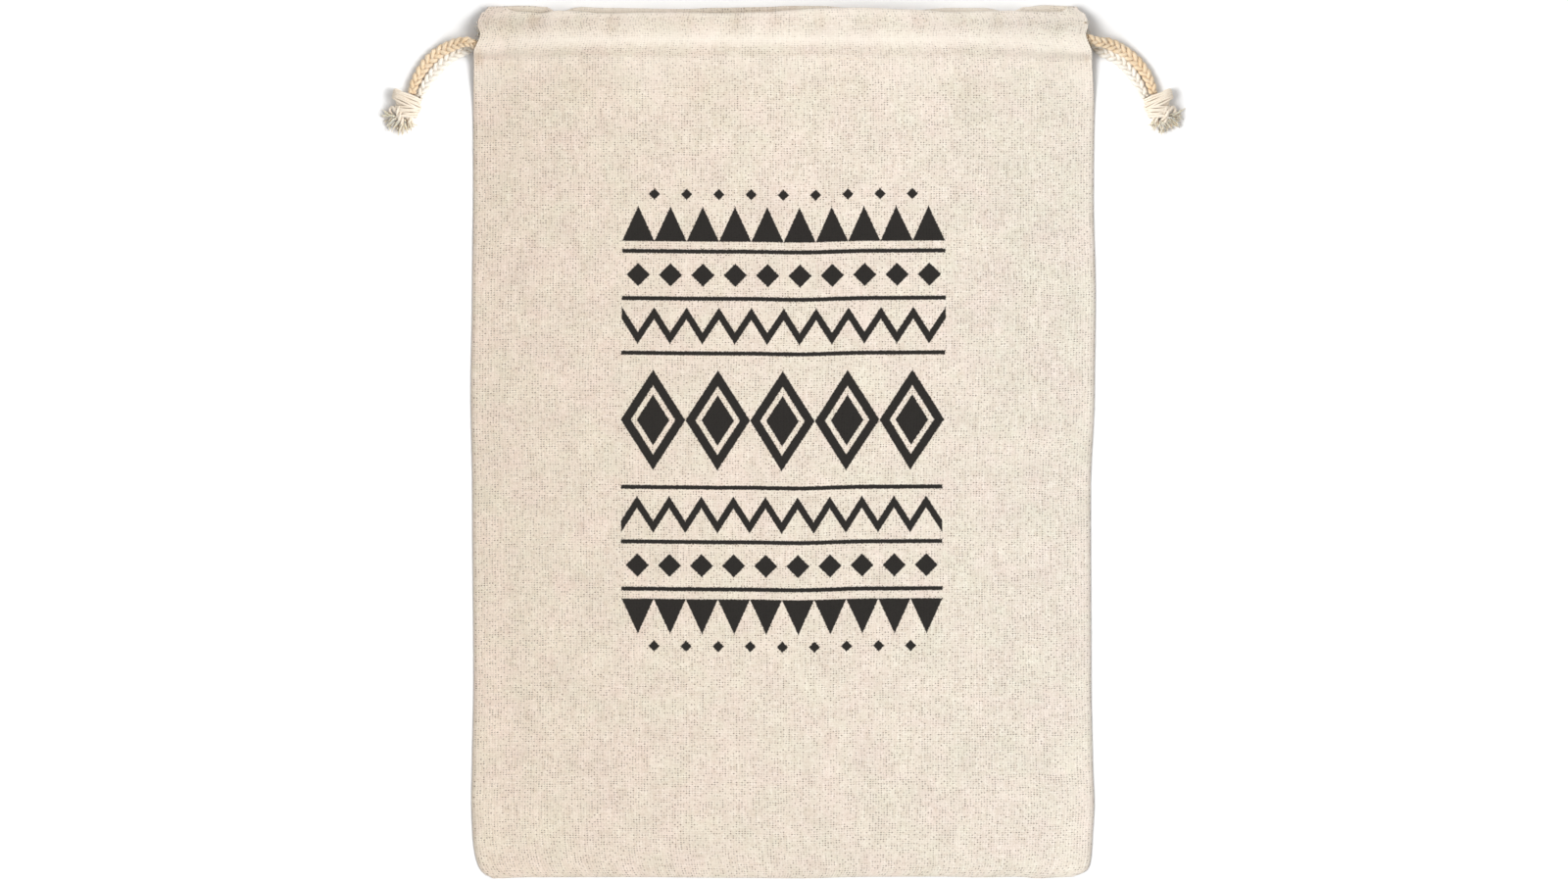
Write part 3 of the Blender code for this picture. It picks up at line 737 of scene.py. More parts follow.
def casing_layers(above, is_front):
    """Places across, heights up, and middles of a casing's outer and turned-in layers at its stations."""
    column = COLUMNS[:, None]
    above = np.asarray(above)[None, :]
    guess = across(STITCH_UP + above, column, 0.0)[0]
    edge = ease(MOUTH_EDGES, guess, 2 if is_front else 1)
    depth = BAG_LENGTH - edge - STITCH_UP
    dip = lane_dip(guess) * straight(CASING_ROWS, above, 3)

    def rescaled(up, was, now):
        part = (now - CORD_ZONE) / (was - CORD_ZONE)
        return np.where(up > CORD_ZONE, CORD_ZONE + (up - CORD_ZONE) * part, up)

    # Above the cords the casing takes up the mouth's uneven edge
    up = STITCH_UP + rescaled(above, CASING_DEPTH, depth) + dip
    x = across(up, column, 0.0)[0]
    x_in = across(up, column, straight(CASING_ROWS, above, 2))[0]
    tunnel = straight(CASING_ROWS, above, 1)
    slope = casing_slope(above)
    if is_front:
        share = arch(x)
        back_edge = ease(MOUTH_EDGES, x, 1)
        back_depth = BAG_LENGTH - back_edge - STITCH_UP
        along = rescaled(up - STITCH_UP - dip, back_depth, CASING_DEPTH)
        nested = CLOTH + straight(CASING_ROWS, np.minimum(along, CASING_LAST), 1) + (1.0 + GAP) * lean(slope)
        under = (1.0 - share) * nested + share * (RIDGE_TOP + MOUTH_GAP)
        low = under + lean(slope * (1.0 - share))
        high = low + share * straight(SLACK_ROOF, above, 1) + (1.0 - share) * tunnel
        outer = high + lean(slope * (2.0 - 2.0 * share)) / 2.0
        inner = (under + low) / 2.0
    else:
        outer = 0.5 * CLOTH + 0.0 * x
        inner = CLOTH + tunnel + lean(slope) / 2.0 + 0.0 * x
    return x, x_in, up, outer, inner


def relax(values, rounds, fixed=2):
    """Softens kinks along the stations of a grid, with its first and last stations kept."""
    for _ in range(rounds):
        values[:, fixed:-fixed] = (0.5 * values[:, fixed:-fixed] + 0.25 * values[:, fixed - 1:-fixed - 1]
                                   + 0.25 * values[:, fixed + 1:len(values[0]) - fixed + 1])
    return values


def ripple(x, up, scale, seed):
    """Slow unevenness of slack cloth: a few crossed waves, from -1 to 1."""
    chance = np.random.default_rng(seed)
    total = 0.0 * x * up
    for wave in range(7):
        angle = chance.uniform(0.0, 2.0 * math.pi)
        length = scale * chance.uniform(0.6, 1.7)
        phase = chance.uniform(0.0, 2.0 * math.pi)
        total = total + np.sin(2.0 * math.pi * (x * math.cos(angle) + up * math.sin(angle)) / length + phase)
    return total / 4.5


def stretch(count, first, last=None):
    """1 at a stretch of stations and 0 elsewhere."""
    share = np.zeros(count)
    share[first:last] = 1.0
    return share[None, :]


def sheet_grid(is_front):
    """A panel's middle surface: up the body, round the casing, in at the mouth and down to the hem's edge."""
    column = COLUMNS[:, None]
    level = 0.0 * column
    body_up = np.linspace(EVEN_FROM, HEM_EDGE_UP - HEM_STEP, BODY_STEPS - len(EDGE_STATIONS))
    body_up = np.concatenate([EDGE_STATIONS, body_up])[None, :] + level
    x_body, inset = across(body_up, column, 0.0)
    hem_up = STITCH_UP + np.array(HEM_STATIONS)[None, :] + level
    x_hem, inset_hem = across(hem_up, column, 0.0)
    if is_front:
        z_body = body_middle(x_body, body_up, inset)
        z_hem = body_middle(x_hem, hem_up * 0.0 + HEM_EDGE_UP - HEM_STEP, inset_hem)
        z_under = z_hem - CLOTH
    else:
        z_body = 0.5 * CLOTH + 0.0 * x_body
        z_hem = 0.5 * CLOTH + 0.0 * x_hem
        z_under = z_hem + CLOTH
    above = np.linspace(CASING_FIRST, CASING_LAST, CASING_STEPS)
    x_out, x_in, up_casing, outer, inner = casing_layers(above, is_front)
    out = ((x_body, x_hem, x_out), (body_up, hem_up, up_casing), (z_body, z_hem, outer))
    home = ((x_hem, x_in), (hem_up, up_casing), (z_under, inner))
    x_way, up_way, z_way = (relax(np.hstack(runs), RELAX_ROUNDS) for runs in out)
    x_back, up_back, z_back = (relax(np.hstack(runs)[:, ::-1].copy(), RELAX_ROUNDS) for runs in home)
    # Round the fold at the mouth
    edge = ease(MOUTH_EDGES, across(STITCH_UP + CASING_DEPTH + level, column, 0.0)[0], 2 if is_front else 1)
    up_fold = BAG_LENGTH - edge - LINEN_THICK / 2.0
    x_fold = across(up_fold, column, 0.0)[0]
    turn = np.radians(np.linspace(FOLD_TURN, -FOLD_TURN, FOLD_STEPS))[None, :]
    middle = (z_way[:, -1:] + z_back[:, :1]) / 2.0
    half = (z_way[:, -1:] - z_back[:, :1]) / 2.0
    up_arc = up_way[:, -1:] + (up_fold - up_way[:, -1:]) * np.cos(turn)
    x_arc = x_fold + (0.5 * (x_way[:, -1:] + x_back[:, :1]) - x_fold) * (1.0 - np.cos(turn))
    return (np.hstack([x_way, x_arc, x_back]), np.hstack([up_way, up_arc, up_back]),
            np.hstack([z_way, middle + half * np.sin(turn), z_back]))


def sheet_painted_light(x, up, inset, is_front):
    """Painted light on a sheet: above 0 a painted highlight, paler, and below 0 painted shade, browner."""
    outside = stretch(x.shape[1], 0, BODY_END + CASING_STEPS + 2)
    share, reach = SEAM_PAINT_FADE
    # A painted highlight along the casing, weaker near the seams
    painted_light = ease(CASING_PAINTED_LIGHT, up - STITCH_UP - lane_dip(x), 1) * (1.0 - share * np.exp(-inset / reach))
    # Painted highlights and painted shade near the casing's ends
    painted_light += spots(CORNER_PAINTED_LIGHT, x, up)
    # A painted highlight along the right seam
    share, reach, half = RIGHT_PAINTED_HIGHLIGHT
    painted_light += share * np.exp(-inset / reach) * np.minimum(1.0, (x / half).clip(0.0))
    painted_light *= outside
    # Creases painted darker in their troughs and paler on their crests: painted shade and painted highlight
    if is_front:
        painted_light += CREASE_PAINTED_LIGHT * spots(MOUTH_CREASES, x, up)
    # The mouth's inside painted paler over its shade, unevenly
    base, uneven, size, seed = INSIDE_PAINTED_LIGHT
    return painted_light + (1.0 - outside) * (base + uneven * ripple(x, 0.0 * up, size, seed))


def panel(name, is_front):
    """A panel of the bag as one thin sheet, with its rolled edges, creases and slackness."""
    x, up, z = sheet_grid(is_front)
    count = x.shape[1]
    inset = across(up, COLUMNS[:, None], 0.0)[1]
    body = stretch(count, 0, BODY_END)
    rise = ease(BOTTOM_EDGE, x, 1) * np.maximum(0.0, 1.0 - up / BOTTOM_FADE)
    if is_front:
        rim = np.maximum(np.exp(-inset / RIM_ROUND), np.exp(-up / RIM_ROUND)) * body
        z -= RIM_DROP * rim * np.clip((HEM_EDGE_UP - up) / RIM_FADE, 0.0, 1.0)
        uneven = sum(amount * ripple(x, up, size, seed) for amount, size, seed in FRONT_RIPPLES)
        z += arch(x) * np.minimum(1.0, up / SLACK_FADE) * uneven
        z += spots(MOUTH_CREASES, x, up) * (0.35 + 0.65 * arch(x))
    else:
        # The back's edges are tucked in under the front's
        x -= np.sign(x) * RIM_TUCK * np.exp(-inset / TUCK_FADE) * body
        up += RIM_TUCK * np.exp(-up / TUCK_FADE)
        amount, size, seed = INSIDE_RIPPLE
        z += stretch(count, BODY_END + CASING_STEPS + 3) * amount * ripple(x, up, size, seed)
    y = up + rise - BAG_LENGTH / 2.0
    steps = np.hypot(np.diff(y, axis=1), np.diff(z, axis=1))
    v = np.hstack([np.zeros((len(COLUMNS), 1)), np.cumsum(steps, axis=1)])
    u = (COLUMNS[:, None] - 0.5) * BAG_WIDTH + 0.0 * v
    index = np.arange(z.size).reshape(z.shape)
    quads = np.stack([index[:-1, :-1], index[1:, :-1], index[1:, 1:], index[:-1, 1:]], axis=-1).reshape(-1, 4)
    if not is_front:
        quads = quads[:, ::-1]
    made = mesh_piece(name, np.stack([x, y, z], axis=-1).reshape(-1, 3), quads.tolist(),
                      np.stack([u, v], axis=-1).reshape(-1, 2), sheet_painted_light(x, up, inset, is_front).ravel())
    solid = made.modifiers.new("Cloth thickness", "SOLIDIFY")
    solid.thickness = LINEN_THICK * MM
    solid.offset = 0.0
    solid.use_even_offset = True
    settle(made).data.shade_smooth()
    return made


front = panel("linen_front", True)
back = panel("linen_back", False)

# The print: how far up the bag its middle is, and its scale; its half width, half repeat and all below are
# millimetres before scaling
PRINT_UP = 222.0
PRINT_SCALE = 1.2
PRINT_HALF = 65.0
REPEAT = 13.0
# Large diamonds: their sides' slopes and reach, how far in the bare line is, and half its width
LARGE_DIAMOND = (0.84, 0.54, 10.9)
BARE_LINE = (4.4, 1.0)
# Zigzags: height up from the print's middle, slope, the slope's share across, and half the line's width
ZIGZAG = (33.0, 1.54, 0.545, 1.3)
# Small diamonds and tiny ones: height up, half size, and how far out the row goes
DIAMOND_ROW = (58.5, 3.3, PRINT_HALF)
TINY_ROW = (91.0, 1.6, PRINT_HALF - 4.0)
# Triangles: height up of their base, their sides' slopes and reach; straight lines: heights up and half width
TRIANGLES = (72.0, 0.907, 0.42, 5.9)
LINES_UP = (27.0, 49.0, 68.0)
LINE_HALF = 0.8


def print_shape(tree, u, v):
    """Signed distance to plain bands of diamonds, zigzags and triangles, the same above and below."""
    maths = partial(calc, tree)
    x = maths("MULTIPLY", u, 1000.0 / PRINT_SCALE)
    y = maths("ABSOLUTE", maths("MULTIPLY_ADD", v, 1000.0 / PRINT_SCALE, -PRINT_UP / PRINT_SCALE))
    half = REPEAT / 2.0
    wide = maths("ABSOLUTE", maths("WRAP", x, REPEAT, -REPEAT))
    narrow = maths("ABSOLUTE", maths("WRAP", maths("ADD", x, half), half, -half))
    slope_x, slope_y, reach = LARGE_DIAMOND
    diamond = maths("MULTIPLY_ADD", wide, slope_x, maths("MULTIPLY_ADD", y, slope_y, -reach))
    bare = maths("SUBTRACT", BARE_LINE[1], maths("ABSOLUTE", maths("ADD", diamond, BARE_LINE[0])))
    shapes = [maths("MAXIMUM", diamond, bare)]
    row, slope, level, line_half = ZIGZAG
    peak = maths("ABSOLUTE", maths("SUBTRACT", maths("MULTIPLY_ADD", narrow, -slope, y), row))
    shapes.append(maths("MULTIPLY_ADD", peak, level, -line_half))
    for off, (row, size, reach) in ((narrow, DIAMOND_ROW), (maths("SUBTRACT", half, narrow), TINY_ROW)):
        along = maths("ABSOLUTE", maths("SUBTRACT", y, row))
        spot = maths("MULTIPLY_ADD", maths("ADD", off, along), 0.707, -size)
        shapes.append(maths("MAXIMUM", spot, maths("SUBTRACT", maths("ABSOLUTE", x), reach)))
    base, slope_x, slope_y, reach = TRIANGLES
    side = maths("MULTIPLY_ADD", narrow, slope_x, maths("MULTIPLY_ADD", y, slope_y, -slope_y * base - reach))
    shapes.append(maths("MAXIMUM", side, maths("SUBTRACT", base, y)))
    for row in LINES_UP:
        shapes.append(maths("SUBTRACT", maths("ABSOLUTE", maths("SUBTRACT", y, row)), LINE_HALF))
    nearest = shapes[0]
    for shape in shapes[1:]:
        nearest = maths("MINIMUM", nearest, shape)
    return maths("MAXIMUM", nearest, maths("SUBTRACT", maths("ABSOLUTE", x), PRINT_HALF))


# The weave: pitch of warp and weft in millimetres, and how many threads each wanders
WARP = ("X", "Red", 1.345, 1.3)
WEFT = ("Y", "Green", 1.08, 1.1)


def linen(name, pale, dark, hole, printed):
    """Plain-weave linen: uneven threads with slubs, pinholes where they cross, and a matte dry face."""
    made, tree = empty_material(name)
    maths = partial(calc, tree)

    def cell_of(x, y):
        return add(tree, "ShaderNodeCombineXYZ", {"X": x, "Y": y})

    uv = add(tree, "ShaderNodeUVMap", uv_map="cloth")
    place = add(tree, "ShaderNodeSeparateXYZ", {"Vector": uv})
    u, v = place.outputs["X"], place.outputs["Y"]
    # Each thread wanders a little; how far a point is from its middle goes from 0 to 1
    drift = add(tree, "ShaderNodeSeparateColor", {"Color": noise(tree, uv, 30.0, 2.0, 0.6).outputs["Color"]})
    threads = []
    for axis, channel, pitch, wander in (WARP, WEFT):
        even = maths("MULTIPLY", place.outputs[axis], 1000.0 / pitch)
        run = maths("MULTIPLY_ADD", drift.outputs[channel], wander, even)
        off = maths("ABSOLUTE", maths("MULTIPLY_ADD", maths("FRACT", run), 2.0, -1.0))
        threads.append((maths("FLOOR", run), maths("ROUND", run), off, maths("POWER", off, 2.0)))
    (warp_cell, warp_gap, off_warp, warp_round), (weft_cell, weft_gap, off_weft, weft_round) = threads
    # Over and under: the thread on top at a crossing is the rounder one
    parity = maths("FLOORED_MODULO", maths("ADD", warp_cell, weft_cell), 2.0)
    over_warp = maths("MULTIPLY_ADD", weft_round, -0.45, maths("SUBTRACT", 1.0, warp_round))
    over_weft = maths("MULTIPLY_ADD", warp_round, -0.45, maths("SUBTRACT", 1.0, weft_round))
    height = add(tree, "ShaderNodeMix", {0: parity, 2: over_warp, 3: over_weft})
    # Pinholes at the corners between threads, some open and most closed, more of them along slack threads
    crossing = cell_of(warp_gap, weft_gap)
    luck = add(tree, "ShaderNodeTexWhiteNoise", {"Vector": crossing}, noise_dimensions="2D")
    slack = maths("ADD", noise(tree, cell_of(warp_gap, maths("MULTIPLY", v, 9.0)), 1.0, 1.0),
                  noise(tree, cell_of(maths("MULTIPLY", u, 14.0), weft_gap), 1.0, 1.0))
    open_ = graded(tree, maths("MULTIPLY", slack, luck.outputs["Value"]), 0.38, 0.80)
    size = add(tree, "ShaderNodeSeparateColor", {"Color": luck.outputs["Color"]})
    corner = maths("MULTIPLY_ADD", size.outputs["Green"], 0.22, maths("MULTIPLY", off_warp, off_weft))
    pinhole = maths("MULTIPLY", open_, graded(tree, corner, 0.42, 0.88), use_clamp=True)
    # Each thread's own shade, changing along it, with slubs where it thickens, and fine flecks
    weft_shade = noise(tree, cell_of(maths("MULTIPLY", u, 110.0), weft_cell), 1.0, 2.0, 0.7)
    warp_shade = noise(tree, cell_of(warp_cell, maths("MULTIPLY", v, 80.0)), 1.0, 2.0, 0.7)
    fleck = noise(tree, uv, 1200.0, 1.0, 0.8)
    shade = maths("MULTIPLY_ADD", fleck, 1.1, maths("ADD", weft_shade, warp_shade))
    colour = blend(tree, graded(tree, shade, 1.16, 1.94), dark, pale)
    # Painted shade in the grooves between threads: a little darker, most of all between the weft's
    painted_groove_shade = maths("MAXIMUM", maths("MULTIPLY", maths("POWER", warp_round, 3.0), 0.30),
                   maths("MULTIPLY", maths("POWER", weft_round, 3.0), 0.50))
    colour = blend(tree, painted_groove_shade, colour, dark)
    # Slow clouds, 8 to 40 mm across, where the yarn is thicker or thinner, and pinker or greener
    cloud = noise(tree, uv, 60.0, 4.0, 0.65)
    bright = maths("MULTIPLY_ADD", cloud, 0.26, 0.87)
    colour = add(tree, "ShaderNodeVectorMath", {0: colour, "Scale": bright}, operation="SCALE")
    hue = add(tree, "ShaderNodeSeparateColor", {"Color": cloud.outputs["Color"]})
    pinker = graded(tree, hue.outputs["Green"], 0.34, 0.66)
    colour = times(tree, colour, blend(tree, pinker, "FBFEF7", "FFFBF9"))
    # The cloth is painted a little browner towards its left side, painted shade for light that falls more from
    # the right
    colour = times(tree, colour, blend(tree, graded(tree, u, -0.15, 0.15), "F5EFEA", "FFFFFF"))
    # Painted light from the sheet: above 0 the cloth is painted paler, a painted highlight, and its pinholes
    # close;
    # below 0 it is painted browner, painted shade
    painted_light = add(tree, "ShaderNodeAttribute", attribute_name="painted_light").outputs["Fac"]
    pinhole = maths("MULTIPLY", pinhole, graded(tree, painted_light, 0.55, 0.85, 1.0, 0.2))
    colour = blend(tree, pinhole, colour, hole)
    colour = blend(tree, maths("MULTIPLY", painted_light, 0.75, use_clamp=True), colour, "F6EDE0")
    colour = blend(tree, maths("MULTIPLY", painted_light, -0.75, use_clamp=True), colour, "CDB79D")
    if printed:
        # Matte dark screen ink that sinks into the threads; its edge follows them
        edge = maths("MULTIPLY_ADD", fleck, 0.7, print_shape(tree, u, v))
        edge = maths("MULTIPLY_ADD", height, -0.12, edge)
        cover = maths("MULTIPLY", graded(tree, edge, 0.50, 0.16), 0.985)
        # The ink is a little darker in the grooves too, painted shade
        colour = blend(tree, cover, colour, blend(tree, painted_groove_shade, "14110E", "0C0A08"))
    # Threads stand proud of their grooves and pinholes, with a fibrous, dry surface
    bumps = maths("MULTIPLY_ADD", fleck, 0.5, maths("MULTIPLY_ADD", pinhole, -0.8, height))
    bump = add(tree, "ShaderNodeBump", {"Strength": 0.55, "Distance": 0.00022, "Height": bumps})
    shader = add(tree, "ShaderNodeBsdfPrincipled", {
        "Base Color": colour, "Normal": bump, "Roughness": 0.92, "Specular IOR Level": 0.25,
        "Sheen Weight": 0.12, "Sheen Roughness": 0.6})
    add(tree, "ShaderNodeOutputMaterial", {"Surface": shader})
    return made


def cotton(name, pale, dark, gap, shaded, translucent=0.0):
    """Loosely spun raw cotton cord: fine fibres wound at a slant, darker where the yarns meet."""
    made, tree = empty_material(name)
    maths = partial(calc, tree)
    place = add(tree, "ShaderNodeSeparateXYZ", {"Vector": add(tree, "ShaderNodeUVMap", uv_map="cloth")})
    # Fibres slant round the yarn, six of them round it and 1.6 mm apart along it
    around = maths("MULTIPLY", place.outputs["X"], 1000.0)
    slant = maths("MULTIPLY_ADD", place.outputs["Y"], 1000.0 / 1.6, around)
    wave = maths("SINE", maths("MULTIPLY", slant, 2.0 * math.pi))
    spot = add(tree, "ShaderNodeTexCoord").outputs["Object"]
    fibre = noise(tree, spot, 900.0, 3.0, 0.7)
    patch = noise(tree, spot, 210.0, 3.0, 0.65)
    mixed = maths("MULTIPLY_ADD", fibre, 0.5, maths("MULTIPLY_ADD", wave, 0.10, patch))
    colour = blend(tree, graded(tree, mixed, 0.5, 1.0), dark, pale)
    # Shaded in the grooves between plies and yarns
    hollow = add(tree, "ShaderNodeAmbientOcclusion", {"Distance": 0.0012}, samples=4)
    colour = blend(tree, graded(tree, hollow.outputs["AO"], 0.3, 0.85, shaded, 0.0), colour, gap)
    bumps = maths("MULTIPLY_ADD", wave, 0.35, fibre)
    bump = add(tree, "ShaderNodeBump", {"Strength": 0.6, "Distance": 0.00025, "Height": bumps})
    # A soft, dry face; thin yarns let a little light through
    shader = add(tree, "ShaderNodeBsdfPrincipled", {
        "Base Color": colour, "Normal": bump, "Roughness": 0.88, "Specular IOR Level": 0.25,
        "Sheen Weight": 0.2, "Sheen Roughness": 0.5, "Subsurface Weight": translucent,
        "Subsurface Radius": (1.0, 0.95, 0.85), "Subsurface Scale": 0.0012})
    add(tree, "ShaderNodeOutputMaterial", {"Surface": shader})
    return made


# Linen: pale and dark thread and the shade in a pinhole. The front is printed, the back bare and a bit greyer
LINEN_FRONT = linen("plain_weave_linen_printed", "F9F2EA", "DED1C4", "7F6F64", True)
LINEN_BACK = linen("plain_weave_linen_bare", "F5ECE2", "D9CBBB", "7F6F62", False)
# Cotton: pale and dark fibre, the shade in its grooves and its depth, and how much light shines through. The
# strand from the front casing is golden tan, the one from the back creamy white
COTTON_TAN = cotton("plaited_cotton_cord_tan", "F6E5CC", "E6C9A0", "A67C50", 0.6)
COTTON_PALE = cotton("plaited_cotton_cord_pale", "FDF7EE", "F5EBDC", "D3BF9E", 0.4, 0.3)
# The knot is cream with painted brown shade in the gaps between its yarns, its tuft warm white and lit through
COTTON_KNOT = cotton("knotted_cotton_yarn", "FBF2E3", "F0E0CA", "967858", 0.75)
COTTON_FRAYED = cotton("frayed_cotton_yarn", "FFF0D8", "FFE2BC", "DCA870", 0.35, 1.0)
# Sewing thread in the linen's own colour, a little smoother to the eye
THREAD = cotton("sewing_thread_cotton", "F2E7D8", "E6D8C4", "B8A68F", 0.3)


def grower(title, inputs, made):
    """A node group with named inputs and one named geometry output, and its input node."""
    tree = bpy.data.node_groups.new(title, "GeometryNodeTree")
    for name, kind in inputs:
        tree.interface.new_socket(name, in_out="INPUT", socket_type=f"NodeSocket{kind}")
    tree.interface.new_socket(made, in_out="OUTPUT", socket_type="NodeSocketGeometry")
    return tree, add(tree, "NodeGroupInput").outputs


def stitch_tree():
    """Geometry Nodes: stitches of sewing thread laid end to end along a line."""
    tree, given = grower("Stitches along a line", (
        ("Line", "Geometry"), ("Pitch", "Float"), ("Stitch length", "Float"), ("Thread radius", "Float"),
        ("Thread", "Material")), "Stitches")
    curve = add(tree, "GeometryNodeMeshToCurve", {"Mesh": given["Line"]})
    spaced = add(tree, "GeometryNodeResampleCurve", {"Curve": curve, "Length": given["Pitch"]}, mode="LENGTH")
    way = add(tree, "GeometryNodeInputTangent")
    turn = add(tree, "FunctionNodeAlignRotationToVector", {"Vector": way}, axis="X")
    ball = add(tree, "GeometryNodeMeshUVSphere", {"Segments": 8, "Rings": 6, "Radius": 1.0})
    flat = add(tree, "ShaderNodeCombineXYZ", {
        "X": calc(tree, "MULTIPLY", given["Stitch length"], 0.5),
        "Y": given["Thread radius"], "Z": given["Thread radius"]})
    points = add(tree, "GeometryNodeInstanceOnPoints", {
        "Points": spaced, "Instance": ball.outputs["Mesh"], "Rotation": turn, "Scale": flat})
    real = add(tree, "GeometryNodeRealizeInstances", {"Geometry": points})
    smooth = add(tree, "GeometryNodeSetShadeSmooth", {"Geometry": real})
    named = add(tree, "GeometryNodeSetMaterial", {"Geometry": smooth, "Material": given["Thread"]})
    add(tree, "NodeGroupOutput", {"Stitches": named})
    return tree


def fuzz_tree():
    """Geometry Nodes: short loose fibres that stand off a surface at random, none of them in the floor."""
    tree, given = grower("Loose fibres on a surface", (
        ("Surface", "Geometry"), ("Per square metre", "Float"), ("Fibre length", "Float"),
        ("Fibre radius", "Float"), ("Seed", "Int"), ("Fibre", "Material")), "Fuzz")
    spread = add(tree, "GeometryNodeDistributePointsOnFaces", {
        "Mesh": given["Surface"], "Density": given["Per square metre"], "Seed": given["Seed"]})
    tilt = add(tree, "FunctionNodeRandomValue", {
        0: (-1.0, -1.0, -1.0), 1: (1.0, 1.0, 1.0), "Seed": given["Seed"]}, data_type="FLOAT_VECTOR")
    leaning = add(tree, "ShaderNodeVectorMath", {0: spread.outputs["Normal"], 1: tilt}, operation="ADD")
    turn = add(tree, "FunctionNodeAlignRotationToVector", {"Vector": leaning}, axis="Z")
    hair = add(tree, "GeometryNodeMeshCone", {
        "Vertices": 3, "Side Segments": 1, "Radius Top": 0.1, "Radius Bottom": 1.0, "Depth": 1.0})
    length = add(tree, "FunctionNodeRandomValue", {2: 0.35, 3: 1.0, "Seed": given["Seed"]}, data_type="FLOAT")
    tall = calc(tree, "MULTIPLY", given["Fibre length"], length.outputs[1])
    size = add(tree, "ShaderNodeCombineXYZ", {
        "X": given["Fibre radius"], "Y": given["Fibre radius"], "Z": tall})
    points = add(tree, "GeometryNodeInstanceOnPoints", {
        "Points": spread.outputs["Points"], "Instance": hair.outputs["Mesh"], "Rotation": turn,
        "Scale": size})
    real = add(tree, "GeometryNodeRealizeInstances", {"Geometry": points})
    place = add(tree, "ShaderNodeSeparateXYZ", {"Vector": add(tree, "GeometryNodeInputPosition")})
    high = calc(tree, "MAXIMUM", place.outputs["Z"], 0.05 * MM)
    lifted = add(tree, "ShaderNodeCombineXYZ", {"X": place.outputs["X"], "Y": place.outputs["Y"], "Z": high})
    real = add(tree, "GeometryNodeSetPosition", {"Geometry": real, "Position": lifted})
    named = add(tree, "GeometryNodeSetMaterial", {"Geometry": real, "Material": given["Fibre"]})
    add(tree, "NodeGroupOutput", {"Fuzz": named})
    return tree


def grown(name, base, tree, values):
    """A plain mesh object grown by a node tree on a base mesh, with the tree's inputs given by name."""
    made = placed(name, base)
    nodes = made.modifiers.new("Grown", "NODES")
    nodes.node_group = tree
    for item in tree.interface.items_tree:
        if item.in_out == "INPUT" and item.name in values:
            nodes[item.identifier] = values[item.name]
    return settle(made)


def finished(piece, material):
    """Gives a piece its material in its one slot, and lets it ride on the part."""
    piece.data.materials.clear()
    piece.data.materials.append(material)
    for face in piece.data.polygons:
        face.material_index = 0
    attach(piece, "root")
    return piece


STITCHES = stitch_tree()
FUZZ = fuzz_tree()

for sheet, material, node in ((front, LINEN_FRONT, "front_panel"), (back, LINEN_BACK, "back_panel")):
    finished(sheet, material)
    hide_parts(node)

# Lockstitch along the front's casing: where it stops at each side, and each stitch's pitch, length and radius
STITCH_END = 147.0
STITCH = {"Pitch": 3.0 * MM, "Stitch length": 2.7 * MM, "Thread radius": 0.19 * MM, "Thread": THREAD}
STITCH_LIFT = 0.02
seam_up = STITCH_UP + 0.0 * COLUMNS
seam_x, seam_inset = across(seam_up, COLUMNS, 0.0)
seam_x = np.clip(seam_x, -STITCH_END, STITCH_END)
seam_z = body_middle(seam_x, 0.0 * seam_up + HEM_EDGE_UP - HEM_STEP, seam_inset)
seam_z += LINEN_THICK / 2.0 + STITCH_LIFT
seam_places = np.stack([seam_x, seam_up - BAG_LENGTH / 2.0, seam_z], axis=-1)
seam_line = bpy.data.meshes.new("casing_stitch_line")
seam_line.from_pydata([tuple(place) for place in seam_places * MM],
                      [(start, start + 1) for start in range(len(seam_places) - 1)], [])
front_stitches = finished(grown("casing_stitches_front", seam_line, STITCHES, STITCH), THREAD)

# Frayed ends of thread at the casing's open ends
loose_ends = []
for side, seed in ((-1.0, 31), (1.0, 37)):
    for up, height in LOOSE_AT:
        centre = Vector((side * LOOSE_X, up - BAG_LENGTH / 2.0, height))
        loose_ends += frayed(seed + int(up), centre, Vector((side, 0.0, 0.0)), Vector((0.0, 1.0, 0.0)),
                             LOOSE_COUNT, (0.0, 0.0, height), LOOSE_FAN, LOOSE_REACH, LOOSE_THICK)
loose_ends = finished(mesh_piece("casing_frayed_threads", *joined(loose_ends)), COTTON_FRAYED)

FIBRES = {"Per square metre": 650000.0, "Fibre length": 1.5 * MM, "Fibre radius": 0.045 * MM, "Seed": 4,
          "Fibre": COTTON_PALE}
for word, cord in cords.items():
    for part, material, node in (
            ("held", COTTON_TAN, f"drawstring_{word}"), ("front", COTTON_TAN, f"drawstring_{word}"),
            ("back", COTTON_PALE, f"drawstring_{word}"), ("knot", COTTON_KNOT, f"knot_{word}")):
        finished(cord[part], material)
        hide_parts(node)
    finished(cord["tuft"], COTTON_FRAYED)
    for place, others in (("front", [cord["knot"], cord["tuft"]]), ("back", [])):
        fuzz = grown(f"cord_{word}_{place}_fibres", cord[place].data.copy(), FUZZ, FIBRES)
        finished(fuzz, COTTON_PALE)

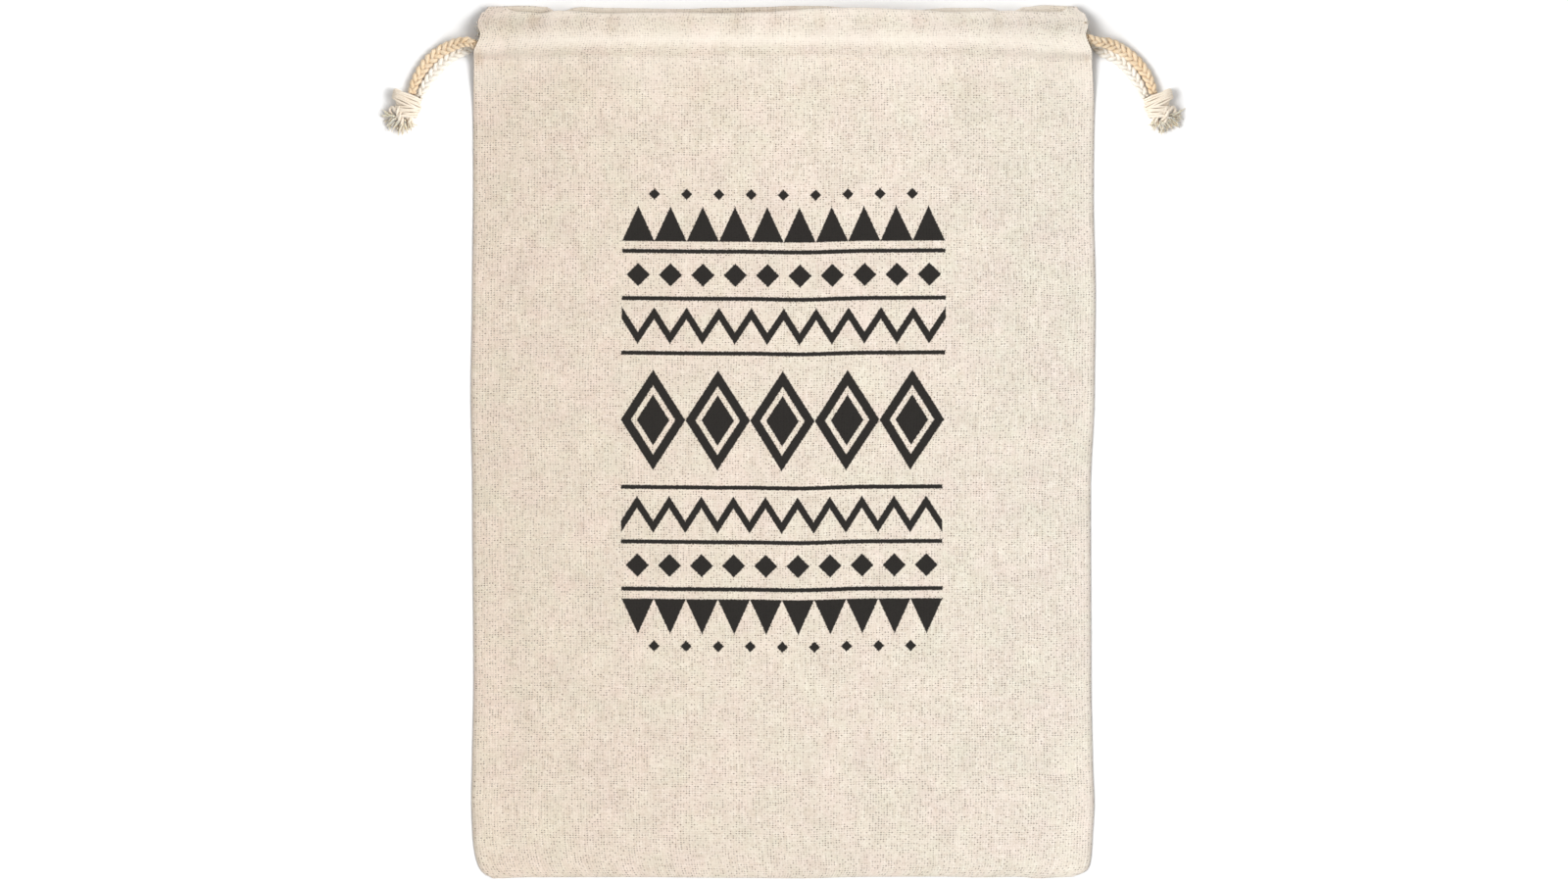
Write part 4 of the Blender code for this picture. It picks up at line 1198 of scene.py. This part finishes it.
# A plain pale floor of matt white paper that goes on far out of view
FLOOR_HALF = 15.0
floor_data = bpy.data.meshes.new("floor")
floor_corners = [(x * FLOOR_HALF, y * FLOOR_HALF, 0.0) for x, y in ((-1, -1), (1, -1), (1, 1), (-1, 1))]
floor_data.from_pydata(floor_corners, [], [(0, 1, 2, 3)])
floor = placed("floor", floor_data)
paper, paper_tree = empty_material("matt_white_paper")
paper_face = add(paper_tree, "ShaderNodeBsdfPrincipled", {
    "Base Color": linear_colour("F8F8F8"), "Roughness": 0.95, "Specular IOR Level": 0.1})
add(paper_tree, "ShaderNodeOutputMaterial", {"Surface": paper_face})
floor_data.materials.append(paper)

# Soft white light from all round
world = bpy.data.worlds.new("studio")
world.use_nodes = True
world.node_tree.nodes["Background"].inputs["Color"].default_value = (1.0, 1.0, 1.0, 1.0)
world.node_tree.nodes["Background"].inputs["Strength"].default_value = 0.60
bpy.context.scene.world = world

# Two softboxes with grids: each lights its half of the floor from the other side, so shadows fall outwards.
# How they lean, their size, how far off and how far out past each other they are, their beams and their power
BEAM_LEAN = (0.80, -0.08)
BOX_SIZE = (0.56, 0.80)
BOX_AWAY = 0.70
BOX_SHIFT = 0.048
BOX_SPREAD = 50.0
BOX_WATTS = 1.27
for side, word in ((-1.0, "left"), (1.0, "right")):
    back_way = Vector((-side * BEAM_LEAN[0], BEAM_LEAN[1], 1.0)).normalized()
    beside = Vector((0.0, 1.0, 0.0)).cross(back_way).normalized()
    lamp_data = bpy.data.lights.new(f"softbox_for_{word}_half", "AREA")
    lamp_data.shape = "RECTANGLE"
    lamp_data.size = BOX_SIZE[0]
    lamp_data.size_y = BOX_SIZE[1]
    lamp_data.spread = math.radians(BOX_SPREAD)
    lamp_data.energy = BOX_WATTS
    middle = Vector((side * (BOX_SIZE[0] / 2.0 * math.hypot(1.0, BEAM_LEAN[0]) + BOX_SHIFT), 0.0, 0.0))
    turned = Matrix((beside, back_way.cross(beside), back_way)).transposed().to_4x4()
    lamp = placed(f"softbox_for_{word}_half", lamp_data)
    lamp.matrix_world = Matrix.Translation(middle + back_way * BOX_AWAY) @ turned
bpy.context.scene.view_settings.view_transform = "Standard"
